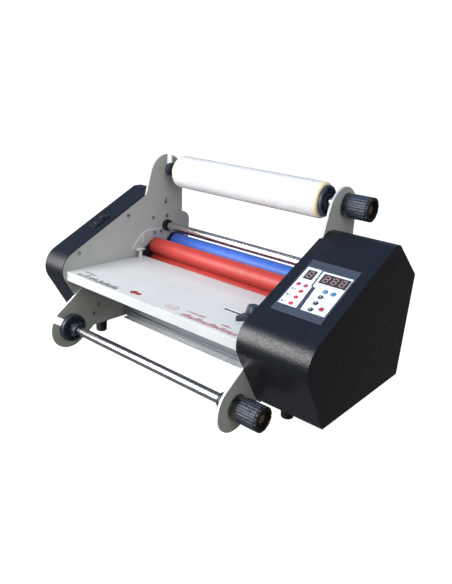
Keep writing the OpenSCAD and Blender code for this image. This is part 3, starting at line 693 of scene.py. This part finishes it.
def spring(node, turns):
    """Round-wire coil with closed end turns."""
    low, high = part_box(node)
    place = Matrix.Translation((0, (low.y + high.y) / 2, (low.z + high.z) / 2))
    coil_r = (high.z - low.z) / 2 - WIRE_R
    steps, sides = 48 * turns, 12
    bm = bmesh.new()
    rings = []
    for i in range(steps + 1):
        t = i / steps
        rise = min(max((t * turns - 0.4) / (turns - 0.8), 0.0), 1.0)
        angle = TURN * turns * t
        x = low.x + WIRE_R + (high.x - low.x - 2 * WIRE_R) * rise
        ring = []
        for j in range(sides):
            around = TURN * j / sides
            r = coil_r + WIRE_R * math.cos(around)
            local = Vector((x + WIRE_R * math.sin(around), r * math.cos(angle), r * math.sin(angle)))
            ring.append(bm.verts.new(place @ local))
        rings.append(ring)
    for here, there in zip(rings, rings[1:]):
        for j in range(sides):
            k = (j + 1) % sides
            bm.faces.new((here[j], here[k], there[k], there[j]))
    bm.faces.new(list(reversed(rings[0])))
    bm.faces.new(rings[-1])
    obj = piece(node + "_coil", bm, ZINC, node, [node], 60)
    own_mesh(obj)


spring("upper_tension_spring", 2)
spring("lower_tension_spring", 3)

RIBS = 24
RIB_DEPTH = 0.6 * MM
RIM_LEN = 5 * MM
DIMPLES = 8
DIMPLE_ROWS = (0.35, 0.7)
DIMPLE_R = 1.6 * MM
DIMPLE_DEPTH = 0.9 * MM
NOTCH_DEPTH = 1.3 * MM
GRIP_STATIONS = 26
RECESS_R = 14 * MM
RECESS_DEPTH = 7 * MM


def tension_knob(node):
    """Ribbed grip with moulded dimples, a notched rim, and a spoked recess round a brass nut."""
    low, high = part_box(node)
    place, radius = axis_of((low, high))
    bore = NECK_R + 0.05 * MM
    rim_start = high.x - RIM_LEN

    def grip(x, r, angle):
        if r < RECESS_R + 1 * MM:
            return r
        if x > rim_start:
            notch = max(0.0, math.cos(RIBS / 2 * angle)) ** 6
            return r - NOTCH_DEPTH * notch
        rib = 0.5 + 0.5 * math.cos(RIBS * angle)
        reach = r - RIB_DEPTH * rib ** 2
        for row, share in enumerate(DIMPLE_ROWS):
            across = low.x + share * (rim_start - low.x) - x
            turn = (angle * DIMPLES / TURN + 0.5 * row) % 1.0 - 0.5
            around = turn * TURN / DIMPLES * r
            spot = math.exp(-(across ** 2 + around ** 2) / DIMPLE_R ** 2)
            reach -= DIMPLE_DEPTH * spot
        return reach

    profile = [(low.x, bore), (low.x, radius - 1.2 * MM)]
    for k in range(GRIP_STATIONS + 1):
        along = low.x + 1 * MM + (rim_start - low.x - 1.6 * MM) * k / GRIP_STATIONS
        profile.append((along, radius))
    profile += [
        (rim_start - 0.3 * MM, radius - 1.4 * MM), (rim_start + 0.3 * MM, radius - 1.4 * MM),
        (rim_start + 0.7 * MM, radius), (high.x - 0.8 * MM, radius),
        (high.x - 0.2 * MM, radius - 0.4 * MM), (high.x, radius - 1.2 * MM),
        (high.x, RECESS_R + 0.5 * MM), (high.x - 0.5 * MM, RECESS_R),
        (high.x - RECESS_DEPTH, RECESS_R), (high.x - RECESS_DEPTH, bore),
    ]
    bm = bmesh.new()
    revolve(bm, profile, place, 288, grip)
    knob = piece(node + "_moulded", bm, SLATE, node, [node], 35)
    knob.data.materials.append(BLACK)
    for face in knob.data.polygons:
        if face.center.x > rim_start:
            face.material_index = 1
    bm = bmesh.new()
    floor = high.x - RECESS_DEPTH
    revolve(bm, softened(ring_profile(floor, floor + 3.4 * MM, 9.5 * MM, bore), 0.4 * MM), place, 6)
    for k in range(6):
        turn = Matrix.Rotation(TURN * k / 6, 4, "X")
        spoke = rectangle(floor, 9 * MM, 4.2 * MM, RECESS_R - 8.8 * MM)
        prism(bm, spoke, place @ turn, -0.9 * MM, 0.9 * MM)
    piece(node + "_nut", bm, BRASS, node, [], 30)


tension_knob("upper_tension_knob")
tension_knob("lower_tension_knob")


# ---- Screws and feet ----

SCREW_R = 2 * MM
SOCKET_R = 1.5 * MM
HEAD_T = 2.2 * MM


def hexagonal(x, r, angle):
    """Turns the socket's radius into a hexagon's, and leaves the rest round."""
    if r > SOCKET_R + 0.05 * MM:
        return r
    sixth = TURN / 6
    return r * math.cos(sixth / 2) / math.cos(angle % sixth - sixth / 2)


heads = bmesh.new()
cups = bmesh.new()
for low, high in solids("machine_screws"):
    head_r = (high.z - low.z) / 2
    left = high.x < 0
    outward_x = 1 if left else -1
    origin = high.x if left else low.x
    seat = (origin - outward_x * HEAD_T, (low.y + high.y) / 2, (low.z + high.z) / 2)
    at = place_along((outward_x, 0, 0), seat)
    shank = high.x - low.x - HEAD_T
    cup = [
        (-0.1 * MM, SCREW_R), (-0.1 * MM, head_r - 0.1 * MM), (0.4 * MM, head_r),
        (0.9 * MM, head_r - 0.3 * MM), (0.7 * MM, SCREW_R),
    ]
    revolve(cups, cup, at, 40)
    dome = [
        (-shank, 0), (-shank, SCREW_R - 0.3 * MM), (-shank + 0.4 * MM, SCREW_R), (0, SCREW_R),
        (0.7 * MM, SCREW_R), (0.7 * MM, head_r - 0.7 * MM), (1.3 * MM, head_r - 0.9 * MM),
        (1.9 * MM, head_r - 1.5 * MM), (HEAD_T, SOCKET_R + 0.3 * MM), (HEAD_T, SOCKET_R),
        (1.0 * MM, SOCKET_R), (0.8 * MM, 0),
    ]
    revolve(heads, dome, at, 48, hexagonal)
piece("screw_heads", heads, ZINC, "machine_screws", ["machine_screws"], 35)
piece("screw_washers", cups, DARK_STEEL, "machine_screws", [], 35)

FOOT_TAPER = 3 * MM
bm = bmesh.new()
for low, high in solids("rubber_feet"):
    top_r = (high.x - low.x) / 2
    bottom_r = top_r - FOOT_TAPER
    tall = high.z - low.z
    place = place_along((0, 0, 1), ((low.x + high.x) / 2, (low.y + high.y) / 2, low.z))
    profile = [
        (0, 5 * MM), (0, bottom_r - 0.8 * MM), (0.8 * MM, bottom_r),
        (tall * 0.35, bottom_r + 1 * MM), (tall * 0.38, bottom_r + 0.2 * MM),
        (tall * 0.44, bottom_r + 0.2 * MM), (tall * 0.47, bottom_r + 1.4 * MM),
        (tall - 2 * MM, top_r), (tall, top_r - 0.6 * MM), (tall, 0), (6 * MM, 0), (6 * MM, 4.6 * MM),
    ]
    revolve(bm, profile, place, 64)
piece("rubber_feet_moulded", bm, RUBBER, "rubber_feet", ["rubber_feet"], 35)


# ---- Control panel: overlay print, lamps, keys and digits ----

NORMAL = -Vector(JOINTS["stop_key_press"]["axis"])
UP_SLOPE = Vector((0, NORMAL.z, -NORMAL.y))
PANEL_T = 1 * MM
PRINT_T = 0.07 * MM


def slope_place(origin, tilt=0.0):
    """Local X across the machine, Y up the slope and Z out of it."""
    place = Matrix.Identity(4)
    for row in range(3):
        place[row][0] = (1, 0, 0)[row]
        place[row][1] = UP_SLOPE[row]
        place[row][2] = NORMAL[row]
        place[row][3] = origin[row]
    return place @ Matrix.Rotation(tilt, 4, "X")


panel_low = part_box("control_panel")[0]
PANEL = slope_place((panel_low.x, panel_low.y - PANEL_T * NORMAL.y, panel_low.z))


def on_panel(point):
    """A point of the machine in the panel's own coordinates."""
    return PANEL.inverted() @ point


def centre(node):
    """The middle of a node in the panel's own coordinates."""
    low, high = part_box(node)
    return on_panel((low + high) / 2)


def pierced(bm, outline, holes, hole_r, low, high):
    """Flat printed plate on the panel with round holes."""
    sides = 40
    turns = [TURN * k / sides for k in range(sides)]
    circle = [(hole_r * math.cos(angle), hole_r * math.sin(angle)) for angle in turns]
    loops = [outline] + [[(at.x + x, at.y + y) for x, y in circle] for at in holes]
    edges = []
    for loop in loops:
        ring = [bm.verts.new(PANEL @ Vector((x, y, low))) for x, y in loop]
        edges += [bm.edges.new((ring[k - 1], ring[k])) for k in range(len(ring))]
    filled = bmesh.ops.triangle_fill(bm, edges=edges, use_beauty=True)["geom"]
    faces = [item for item in filled if isinstance(item, bmesh.types.BMFace)]
    raised = bmesh.ops.extrude_face_region(bm, geom=faces)["geom"]
    tops = [item for item in raised if isinstance(item, bmesh.types.BMVert)]
    bmesh.ops.translate(bm, verts=tops, vec=NORMAL * (high - low))
    bmesh.ops.recalc_face_normals(bm, faces=bm.faces)


KEYS = ["level_down_key", "level_up_key", "mode_key", "forward_key", "reverse_key", "stop_key"]
KEY_LOOKS = {"level_down_key": KEY_BLUE, "level_up_key": KEY_BLUE, "stop_key": KEY_RED}
KEY_R = 3 * MM
KEY_TOP = 1.9 * MM
LAMP_R = 1.6 * MM
key_places = [centre(node) for node in KEYS]
lamp_places = [on_panel((low + high) / 2) for low, high in solids("indicator_leds")]


def in_mm(points):
    return [(x * MM, y * MM) for x, y in points]


left_field = in_mm([(2.6, 14), (33.2, 14), (30.6, 60), (28.4, 61.5), (26.4, 96), (2.6, 96)])
right_field = in_mm([(40.0, 14), (77.6, 14), (77.6, 95), (28.8, 95), (30.8, 61.5), (36.6, 60)])
bm = bmesh.new()
pierced(bm, left_field, lamp_places, LAMP_R + 0.05 * MM, PANEL_T, PANEL_T + PRINT_T)
pierced(bm, right_field, key_places, KEY_R + 0.3 * MM, PANEL_T, PANEL_T + PRINT_T)
piece("panel_fields", bm, FIELD, "control_panel", [], 30)
INK_LOW = PANEL_T + PRINT_T
INK_HIGH = INK_LOW + 0.05 * MM
random.seed(7)


def ink_ring(bm, x, y, r_out, r_in, steps=36):
    """Flat printed ring."""
    for k in range(steps):
        quad = ring_part(x, y, r_in, r_out, TURN * k / steps, TURN * (k + 1) / steps)
        prism(bm, quad, PANEL, INK_LOW, INK_HIGH)


def label(bm, x, y, width, height=0.9 * MM):
    """A row of short bars where the real panel has a word."""
    along = x
    while along < x + width:
        bar = random.uniform(0.5, 1.4) * MM
        prism(bm, rectangle(along, y, min(bar, x + width - along), height), PANEL, INK_LOW, INK_HIGH)
        along += bar + 0.4 * MM


ink = bmesh.new()
for node in KEYS:
    at = centre(node)
    ink_ring(ink, at.x, at.y, KEY_R + 1.2 * MM, KEY_R + 0.5 * MM)
for node in ("mode_key", "forward_key", "reverse_key"):
    at = centre(node)
    label(ink, at.x + 5.2 * MM, at.y - 0.4 * MM, 4.5 * MM)
LAMP_ROW = 5 * MM
upper_row = max(at.y for at in lamp_places) - LAMP_ROW
ring_looks = {"magenta": (bmesh.new(), MAGENTA), "red": (bmesh.new(), RING_RED)}
for at in lamp_places:
    ring_bm = ring_looks["magenta" if at.y > upper_row else "red"][0]
    ink_ring(ring_bm, at.x, at.y, 3.5 * MM, 1.75 * MM)
for name, (ring_bm, look) in ring_looks.items():
    piece("lamp_rings_" + name, ring_bm, look, "control_panel", [], 30)

# Arrow, bar and caption beside each lamp row, from the panel's left edge.
CAPTION_X = 5.0 * MM
for row in (46.8, 33.6, 19.6):
    arrow = in_mm([(5.0, row - 1.8), (9.6, row), (5.0, row + 1.8)])
    prism(ink, arrow, PANEL, INK_LOW, INK_HIGH)
    prism(ink, rectangle(10.4 * MM, (row - 1.8) * MM, 1.1 * MM, 3.6 * MM), PANEL, INK_LOW, INK_HIGH)
    label(ink, CAPTION_X, (row - 3.6) * MM, 6.5 * MM, 0.7 * MM)
DASH_PITCH = 3.3
for k in range(11):
    dash = rectangle((41.5 + DASH_PITCH * k) * MM, 39.0 * MM, 1.9 * MM, 0.7 * MM)
    prism(ink, dash, PANEL, INK_LOW, INK_HIGH)
divider = in_mm([(27.4, 96), (28.1, 96), (30.0, 62), (29.3, 62)])
prism(ink, divider, PANEL, PANEL_T, INK_HIGH)
label(ink, 36 * MM, 67.2 * MM, 14 * MM, 0.8 * MM)
label(ink, 58 * MM, 67.2 * MM, 12 * MM, 0.8 * MM)
piece("panel_ink", ink, INK, "control_panel", [], 30)

for node in KEYS:
    at = centre(node)
    place = PANEL @ Matrix.Translation((at.x, at.y, 0)) @ Matrix.Rotation(-math.pi / 2, 4, "Y")
    profile = [
        (-8.9 * MM, 0), (-8.9 * MM, 1.2 * MM), (-1.4 * MM, 1.2 * MM), (-1.4 * MM, 3.9 * MM),
        (-0.3 * MM, 3.9 * MM), (-0.3 * MM, KEY_R), (KEY_TOP - 0.6 * MM, KEY_R),
        (KEY_TOP - 0.15 * MM, KEY_R - 0.45 * MM), (KEY_TOP, KEY_R - 1.1 * MM),
        (KEY_TOP - 0.25 * MM, 0.9 * MM), (KEY_TOP - 0.3 * MM, 0),
    ]
    bm = bmesh.new()
    revolve(bm, profile, place, 48)
    piece(node + "_cap", bm, KEY_LOOKS.get(node, KEY_BLACK), node, [node], 35)
    if node not in KEY_LOOKS:
        bm = bmesh.new()
        arrow = [(-1.0 * MM, -1.1 * MM), (1.4 * MM, 0), (-1.0 * MM, 1.1 * MM)]
        mark = PANEL @ Matrix.Translation((at.x, at.y, 0))
        prism(bm, arrow, mark, KEY_TOP - 0.5 * MM, KEY_TOP + 0.02 * MM)
        piece(node + "_mark", bm, FIELD, node, [], 30)

DOME_H = 0.8 * MM
bm = bmesh.new()
for at in lamp_places:
    place = PANEL @ Matrix.Translation((at.x, at.y, 0)) @ Matrix.Rotation(-math.pi / 2, 4, "Y")
    dome = [(-10 * MM, 0), (-10 * MM, LAMP_R), (PANEL_T, LAMP_R)]
    for k in range(1, 8):
        angle = k * TURN / 32
        dome.append((PANEL_T + DOME_H * math.sin(angle), LAMP_R * math.cos(angle)))
    dome.append((PANEL_T + DOME_H, 0))
    revolve(bm, dome, place, 36)
piece("indicator_lamps", bm, LAMP, "indicator_leds", ["indicator_leds"], 40)

# Across, up and upright for a digit's top, middle, bottom and four side segments.
SEGMENTS = [
    (0, 1, 0), (0, 0, 0), (0, -1, 0),
    (-1, 0.5, 1), (1, 0.5, 1), (-1, -0.5, 1), (1, -0.5, 1),
]
WINDOW_T = 0.7 * MM
DIGIT_W = 6.6 * MM
DIGIT_H = 12.5 * MM
SLANT = 0.08


def digit(bm, x, y, w, h):
    """Seven segments, all lit, centred on x, y."""
    bar = 0.9 * MM
    low = PANEL_T + WINDOW_T
    for across, up, upright in SEGMENTS:
        half = (h / 2 if upright else w) / 2 - 0.6 * bar
        tip = half - bar / 2
        cx = x + across * w / 2
        cy = y + up * h / 2
        shape = [(-half, 0), (-tip, bar / 2), (tip, bar / 2), (half, 0), (tip, -bar / 2), (-tip, -bar / 2)]
        if upright:
            shape = [(-v, u) for u, v in shape]
        outline = [(cx + u + SLANT * (cy + v - y), cy + v) for u, v in shape]
        prism(bm, outline, PANEL, low, low + 0.06 * MM)


bm = bmesh.new()
windows = sorted(solids("display_windows"), key=lambda box: box[0].x)
for (low, high), digits in zip(windows, (1, 3)):
    at = on_panel((low + high) / 2)
    pitch = 0.92 * (high.x - low.x) / digits
    for k in range(digits):
        digit(bm, at.x + (k - (digits - 1) / 2) * pitch, at.y, DIGIT_W, DIGIT_H)
piece("display_digits", bm, DIGIT, "display_windows", [], 30)


# ---- Rocker switch ----

pivot = Vector(JOINTS["power_rocker_tilt"]["pos_m"])
REST_TILT = math.radians(7)
ROCKER_W = 12 * MM
ROCKER_HALF = 12.5 * MM
rocker_place = slope_place(pivot, REST_TILT)
sideways = rocker_place @ Matrix(((0, 0, 1, 0), (1, 0, 0, 0), (0, 1, 0, 0), (0, 0, 0, 1)))
bm = bmesh.new()
outline = [(-ROCKER_HALF, -2.5 * MM), (ROCKER_HALF, -2.5 * MM)]
for k in range(13):
    t = 1 - k / 6
    outline.append((t * ROCKER_HALF, (3 + 2 * t * t) * MM))
prism(bm, outline, sideways, -ROCKER_W / 2, ROCKER_W / 2)
revolve(bm, [(-7 * MM, 0), (-7 * MM, 1.5 * MM), (7 * MM, 1.5 * MM), (7 * MM, 0)], rocker_place, 32)
piece("power_rocker_moulded", bm, GLOSS_BLACK, "power_rocker", ["power_rocker"], 30, 0.5 * MM)

MARK_TILT = math.radians(9)
MARK_LOW = 2.6 * MM
MARK_HIGH = 3.1 * MM
MARK_STEPS = 24
upper_mark = rocker_place @ Matrix.Rotation(MARK_TILT, 4, "X")
lower_mark = rocker_place @ Matrix.Rotation(-MARK_TILT, 4, "X")
bm = bmesh.new()
prism(bm, rectangle(-0.5 * MM, 6.6 * MM, 1.0 * MM, 4.0 * MM), upper_mark, MARK_LOW, MARK_HIGH)
for k in range(MARK_STEPS):
    start = TURN * k / MARK_STEPS
    end = TURN * (k + 1) / MARK_STEPS
    prism(bm, ring_part(0, -8.6 * MM, 1.3 * MM, 2.0 * MM, start, end), lower_mark, MARK_LOW, MARK_HIGH)
piece("power_rocker_marks", bm, PALE_MARK, "power_rocker", [], 30)


# ---- Guide knob ----

low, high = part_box("guide_knob")
place = place_along((0, 0, 1), ((low.x + high.x) / 2, (low.y + high.y) / 2, low.z))
STEM_R = 3 * MM
SKIRT_R = 12.5 * MM
CROWN_R = 9 * MM
FLANGE_R = 7 * MM
HEAD_H = 11 * MM
FLUTES = 6
FLUTE_DEPTH = 2.2 * MM


def fluted(x, r, angle):
    """Finger flutes in the head, deeper towards the skirt."""
    if r < FLANGE_R + 0.2 * MM:
        return r
    wave = (0.5 + 0.5 * math.cos(FLUTES * angle)) ** 1.6
    return r - FLUTE_DEPTH * (r / SKIRT_R) ** 2 * wave


tall = high.z - low.z
head = tall - HEAD_H
flange = head - 1.6 * MM
profile = [
    (0, 0), (0, STEM_R - 0.4 * MM), (0.4 * MM, STEM_R), (flange, STEM_R),
    (flange, FLANGE_R - 0.4 * MM), (flange + 0.4 * MM, FLANGE_R), (head, FLANGE_R),
    (head, SKIRT_R - 1.4 * MM), (head + 0.4 * MM, SKIRT_R - 0.4 * MM),
    (head + 1.2 * MM, SKIRT_R - 0.3 * MM), (head + 6 * MM, (SKIRT_R + CROWN_R) / 2),
    (tall - 1.4 * MM, CROWN_R + 0.2 * MM), (tall - 0.4 * MM, CROWN_R - 0.6 * MM),
    (tall, CROWN_R - 1.6 * MM), (tall - 0.1 * MM, 5.2 * MM),
    (tall - 0.7 * MM, 4.6 * MM), (tall - 0.7 * MM, 0),
]
bm = bmesh.new()
revolve(bm, profile, place, 144, fluted)
piece("guide_knob_moulded", bm, SLATE, "guide_knob", ["guide_knob"], 40)


# ---- Table print ----

TABLE_PLACE = Matrix.Translation((0, 0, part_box("feed_table")[1].z))
TABLE_PRINT = 0.08 * MM


def letter_row(bm, x0, x1, y, tall):
    """Slanted letter-like strokes where the table has a word."""
    stroke = 0.13 * tall
    width = 0.30 * tall
    pitch = 0.52 * tall
    for k in range(int((x1 - x0) / pitch)):
        x = x0 + k * pitch
        rise = tall * random.choice((0.62, 0.62, 0.80, 1.0))
        lean = 0.30 * rise
        legs = (0, width) if random.random() < 0.75 else (0.4 * width,)
        for dx in legs:
            foot = x + dx
            outline = [
                (foot, y), (foot + stroke, y),
                (foot + stroke + lean, y + rise), (foot + lean, y + rise),
            ]
            prism(bm, outline, TABLE_PLACE, 0, TABLE_PRINT)
        across = random.choice((0.02, 0.45, 0.88)) * rise
        bar = rectangle(x + stroke + 0.3 * across, y + across, width - stroke, stroke)
        prism(bm, bar, TABLE_PLACE, 0, TABLE_PRINT)


bm = bmesh.new()
letter_row(bm, -206 * MM, -102 * MM, -136 * MM, 14 * MM)
letter_row(bm, -208 * MM, -176 * MM, -117 * MM, 6 * MM)
piece("table_print_dark", bm, TABLE_INK, "feed_table", [], 30)
bm = bmesh.new()
letter_row(bm, 40 * MM, 150 * MM, -133 * MM, 13 * MM)
letter_row(bm, 38 * MM, 78 * MM, -115 * MM, 7 * MM)
letter_row(bm, 106 * MM, 130 * MM, -116 * MM, 6 * MM)
ARROW_TIP = -84 * MM
ARROW_HEAD = -73 * MM
ARROW_TAIL = -59 * MM
ARROW_Y = -119.5 * MM
arrow = [
    (ARROW_TIP, ARROW_Y), (ARROW_HEAD, ARROW_Y - 9 * MM), (ARROW_HEAD, ARROW_Y - 4.5 * MM),
    (ARROW_TAIL, ARROW_Y - 4.5 * MM), (ARROW_TAIL, ARROW_Y + 4.5 * MM),
    (ARROW_HEAD, ARROW_Y + 4.5 * MM), (ARROW_HEAD, ARROW_Y + 9 * MM),
]
prism(bm, arrow, TABLE_PLACE, 0, TABLE_PRINT)
BADGE_X = 12.5 * MM
BADGE_Y = -119.5 * MM
BADGE_HALF_W = 12 * MM
BADGE_HALF_D = 9.5 * MM
DASHES = 28
for k in range(DASHES):
    unit = ring_part(0, 0, 0.88, 1.0, TURN * k / DASHES, TURN * (k + 0.6) / DASHES)
    dash = [(BADGE_X + u * BADGE_HALF_W, BADGE_Y + v * BADGE_HALF_D) for u, v in unit]
    prism(bm, dash, TABLE_PLACE, 0, TABLE_PRINT)
letter_row(bm, 6 * MM, 20 * MM, BADGE_Y - 3 * MM, 6 * MM)
piece("table_print_red", bm, TABLE_RED, "feed_table", [], 30)


# ---- Mains inlet pins ----

low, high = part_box("power_inlet")
centre_x = (low.x + high.x) / 2
centre_z = (low.z + high.z) / 2
PIN_HALF_T = 1 * MM
PIN_HALF_H = 2 * MM
PIN_LENGTH = 12 * MM
SOCKET_DEPTH = 17 * MM
bm = bmesh.new()
for dx, dz in ((-4.5 * MM, -2.5 * MM), (0, 3.5 * MM), (4.5 * MM, -2.5 * MM)):
    blade = rectangle(centre_x + dx - PIN_HALF_T, high.y - SOCKET_DEPTH, 2 * PIN_HALF_T, PIN_LENGTH)
    middle_z = centre_z + dz
    prism(bm, blade, Matrix.Identity(4), middle_z - PIN_HALF_H, middle_z + PIN_HALF_H)
piece("inlet_pins", bm, BRASS, "power_inlet", [], 30, 0.3 * MM)


# ---- Floor, light and camera ----

def stage_bowl():
    """A pale floor that curves up into the backdrop all round."""
    floor_r, bend_r, wall_h = 3.0, 1.5, 3.5
    bend_steps = 12
    profile = [(0.0, 0.0), (0.0, floor_r)]
    for k in range(1, bend_steps + 1):
        angle = k / bend_steps * math.pi / 2
        profile.append((bend_r * (1 - math.cos(angle)), floor_r + bend_r * math.sin(angle)))
    profile.append((wall_h + bend_r, floor_r + bend_r))
    bm = bmesh.new()
    steps = 96
    rings = []
    for k in range(steps):
        angle = TURN * k / steps
        rings.append([bm.verts.new((r * math.cos(angle), r * math.sin(angle), h)) for h, r in profile])
    for k in range(steps):
        here, there = rings[k], rings[(k + 1) % steps]
        for i in range(len(profile) - 1):
            bm.faces.new((here[i], here[i + 1], there[i + 1], there[i]))
    bmesh.ops.remove_doubles(bm, verts=bm.verts, dist=1e-6)
    mesh = bpy.data.meshes.new("stage_bowl")
    bm.to_mesh(mesh)
    bm.free()
    mesh.polygons.foreach_set("use_smooth", [True] * len(mesh.polygons))
    bowl = bpy.data.objects.new("stage_bowl", mesh)
    bpy.context.scene.collection.objects.link(bowl)
    look = Look("stage_pale", 0.9)
    look.mottle((0.22, 0.22, 0.22), 2.0, 0.004)
    look.set(Emission_Color=(1, 1, 1, 1), Emission_Strength=0.96)
    mesh.materials.append(look.material)
    bowl.visible_glossy = False
    bowl.visible_diffuse = False


def area_light(name, toward, distance, size, power, color, mirrored):
    """Area light in a direction from the machine's middle, aimed back at it. Metal shows mirrored ones."""
    target = (cad_low + cad_high) / 2
    light = bpy.data.lights.new(name, "AREA")
    light.shape = "RECTANGLE"
    light.size, light.size_y = size
    light.energy = power
    light.color = color
    obj = bpy.data.objects.new(name, light)
    direction = Vector(toward).normalized()
    obj.location = target + direction * distance
    obj.rotation_euler = (-direction).to_track_quat("-Z", "Y").to_euler()
    obj.visible_camera = False
    obj.visible_glossy = mirrored
    bpy.context.scene.collection.objects.link(obj)


DIM_FLOOR = (0.16, 0.17, 0.19, 1)
COOL_WALL = (0.15, 0.20, 0.32, 1)
COOL_CEILING = (0.24, 0.32, 0.50, 1)
WARM_ROOM = (0.080, 0.062, 0.048, 1)


def studio_world():
    """What polished surfaces see: cool light overhead, dim floor, and a dark warm room towards +X."""
    world = bpy.data.worlds.new("studio")
    bpy.context.scene.world = world
    world.use_nodes = True
    tree = world.node_tree
    coordinates = tree.nodes.new("ShaderNodeTexCoord")
    split = tree.nodes.new("ShaderNodeSeparateXYZ")
    height = tree.nodes.new("ShaderNodeValToRGB")
    span = tree.nodes.new("ShaderNodeMapRange")
    mix = tree.nodes.new("ShaderNodeMix")
    mix.data_type = "RGBA"
    span.inputs["From Min"].default_value = 0.05
    span.inputs["From Max"].default_value = 0.45
    stops = height.color_ramp.elements
    stops[0].position = 0.0
    stops[0].color = DIM_FLOOR
    stops[1].position = 0.95
    stops[1].color = COOL_CEILING
    middle = stops.new(0.45)
    middle.color = COOL_WALL
    mix.inputs["B"].default_value = WARM_ROOM
    tree.links.new(coordinates.outputs["Generated"], split.inputs["Vector"])
    tree.links.new(split.outputs["Z"], height.inputs["Fac"])
    tree.links.new(split.outputs["X"], span.inputs["Value"])
    tree.links.new(span.outputs["Result"], mix.inputs["Factor"])
    tree.links.new(height.outputs["Color"], mix.inputs["A"])
    tree.links.new(mix.outputs["Result"], tree.nodes["Background"].inputs["Color"])


def photo_camera():
    """The photograph's camera: to the machine's right front, looking down, with a slight roll."""
    camera = bpy.data.cameras.new("camera")
    camera.lens = 36.16
    camera.sensor_width = 36.0
    obj = bpy.data.objects.new("camera", camera)
    yaw, pitch, roll = 37.87, -19.38, 4.63
    stands_at = (0.5988, -0.7405, 0.4815)
    turn = Matrix.Rotation(math.radians(yaw), 4, "Z")
    tip = Matrix.Rotation(math.radians(90 + pitch), 4, "X")
    lean = Matrix.Rotation(math.radians(roll), 4, "Z")
    obj.matrix_world = Matrix.Translation(stands_at) @ turn @ tip @ lean
    bpy.context.scene.collection.objects.link(obj)
    bpy.context.scene.camera = obj


stage_bowl()
studio_world()
WARM_WHITE = (1.0, 0.99, 0.97)
COOL_WHITE = (0.97, 0.99, 1.0)
COLD_WHITE = (0.94, 0.99, 1.0)
WHITE = (1.0, 1.0, 1.0)
# Each light: direction, distance in metres, size in metres, watts, colour, whether metal mirrors it.
area_light("key", (-0.50, -0.80, 0.36), 1.6, (1.2, 1.3), 46, WARM_WHITE, True)
area_light("top", (0.05, 0.0, 1.0), 2.2, (2.0, 2.0), 17, COOL_WHITE, False)
area_light("back", (0.10, 0.95, 0.45), 2.4, (1.6, 1.2), 14, WHITE, False)
area_light("side", (0.85, -0.45, 0.40), 2.2, (1.4, 1.4), 23, COLD_WHITE, False)
photo_camera()
bpy.context.scene.view_settings.view_transform = "Standard"
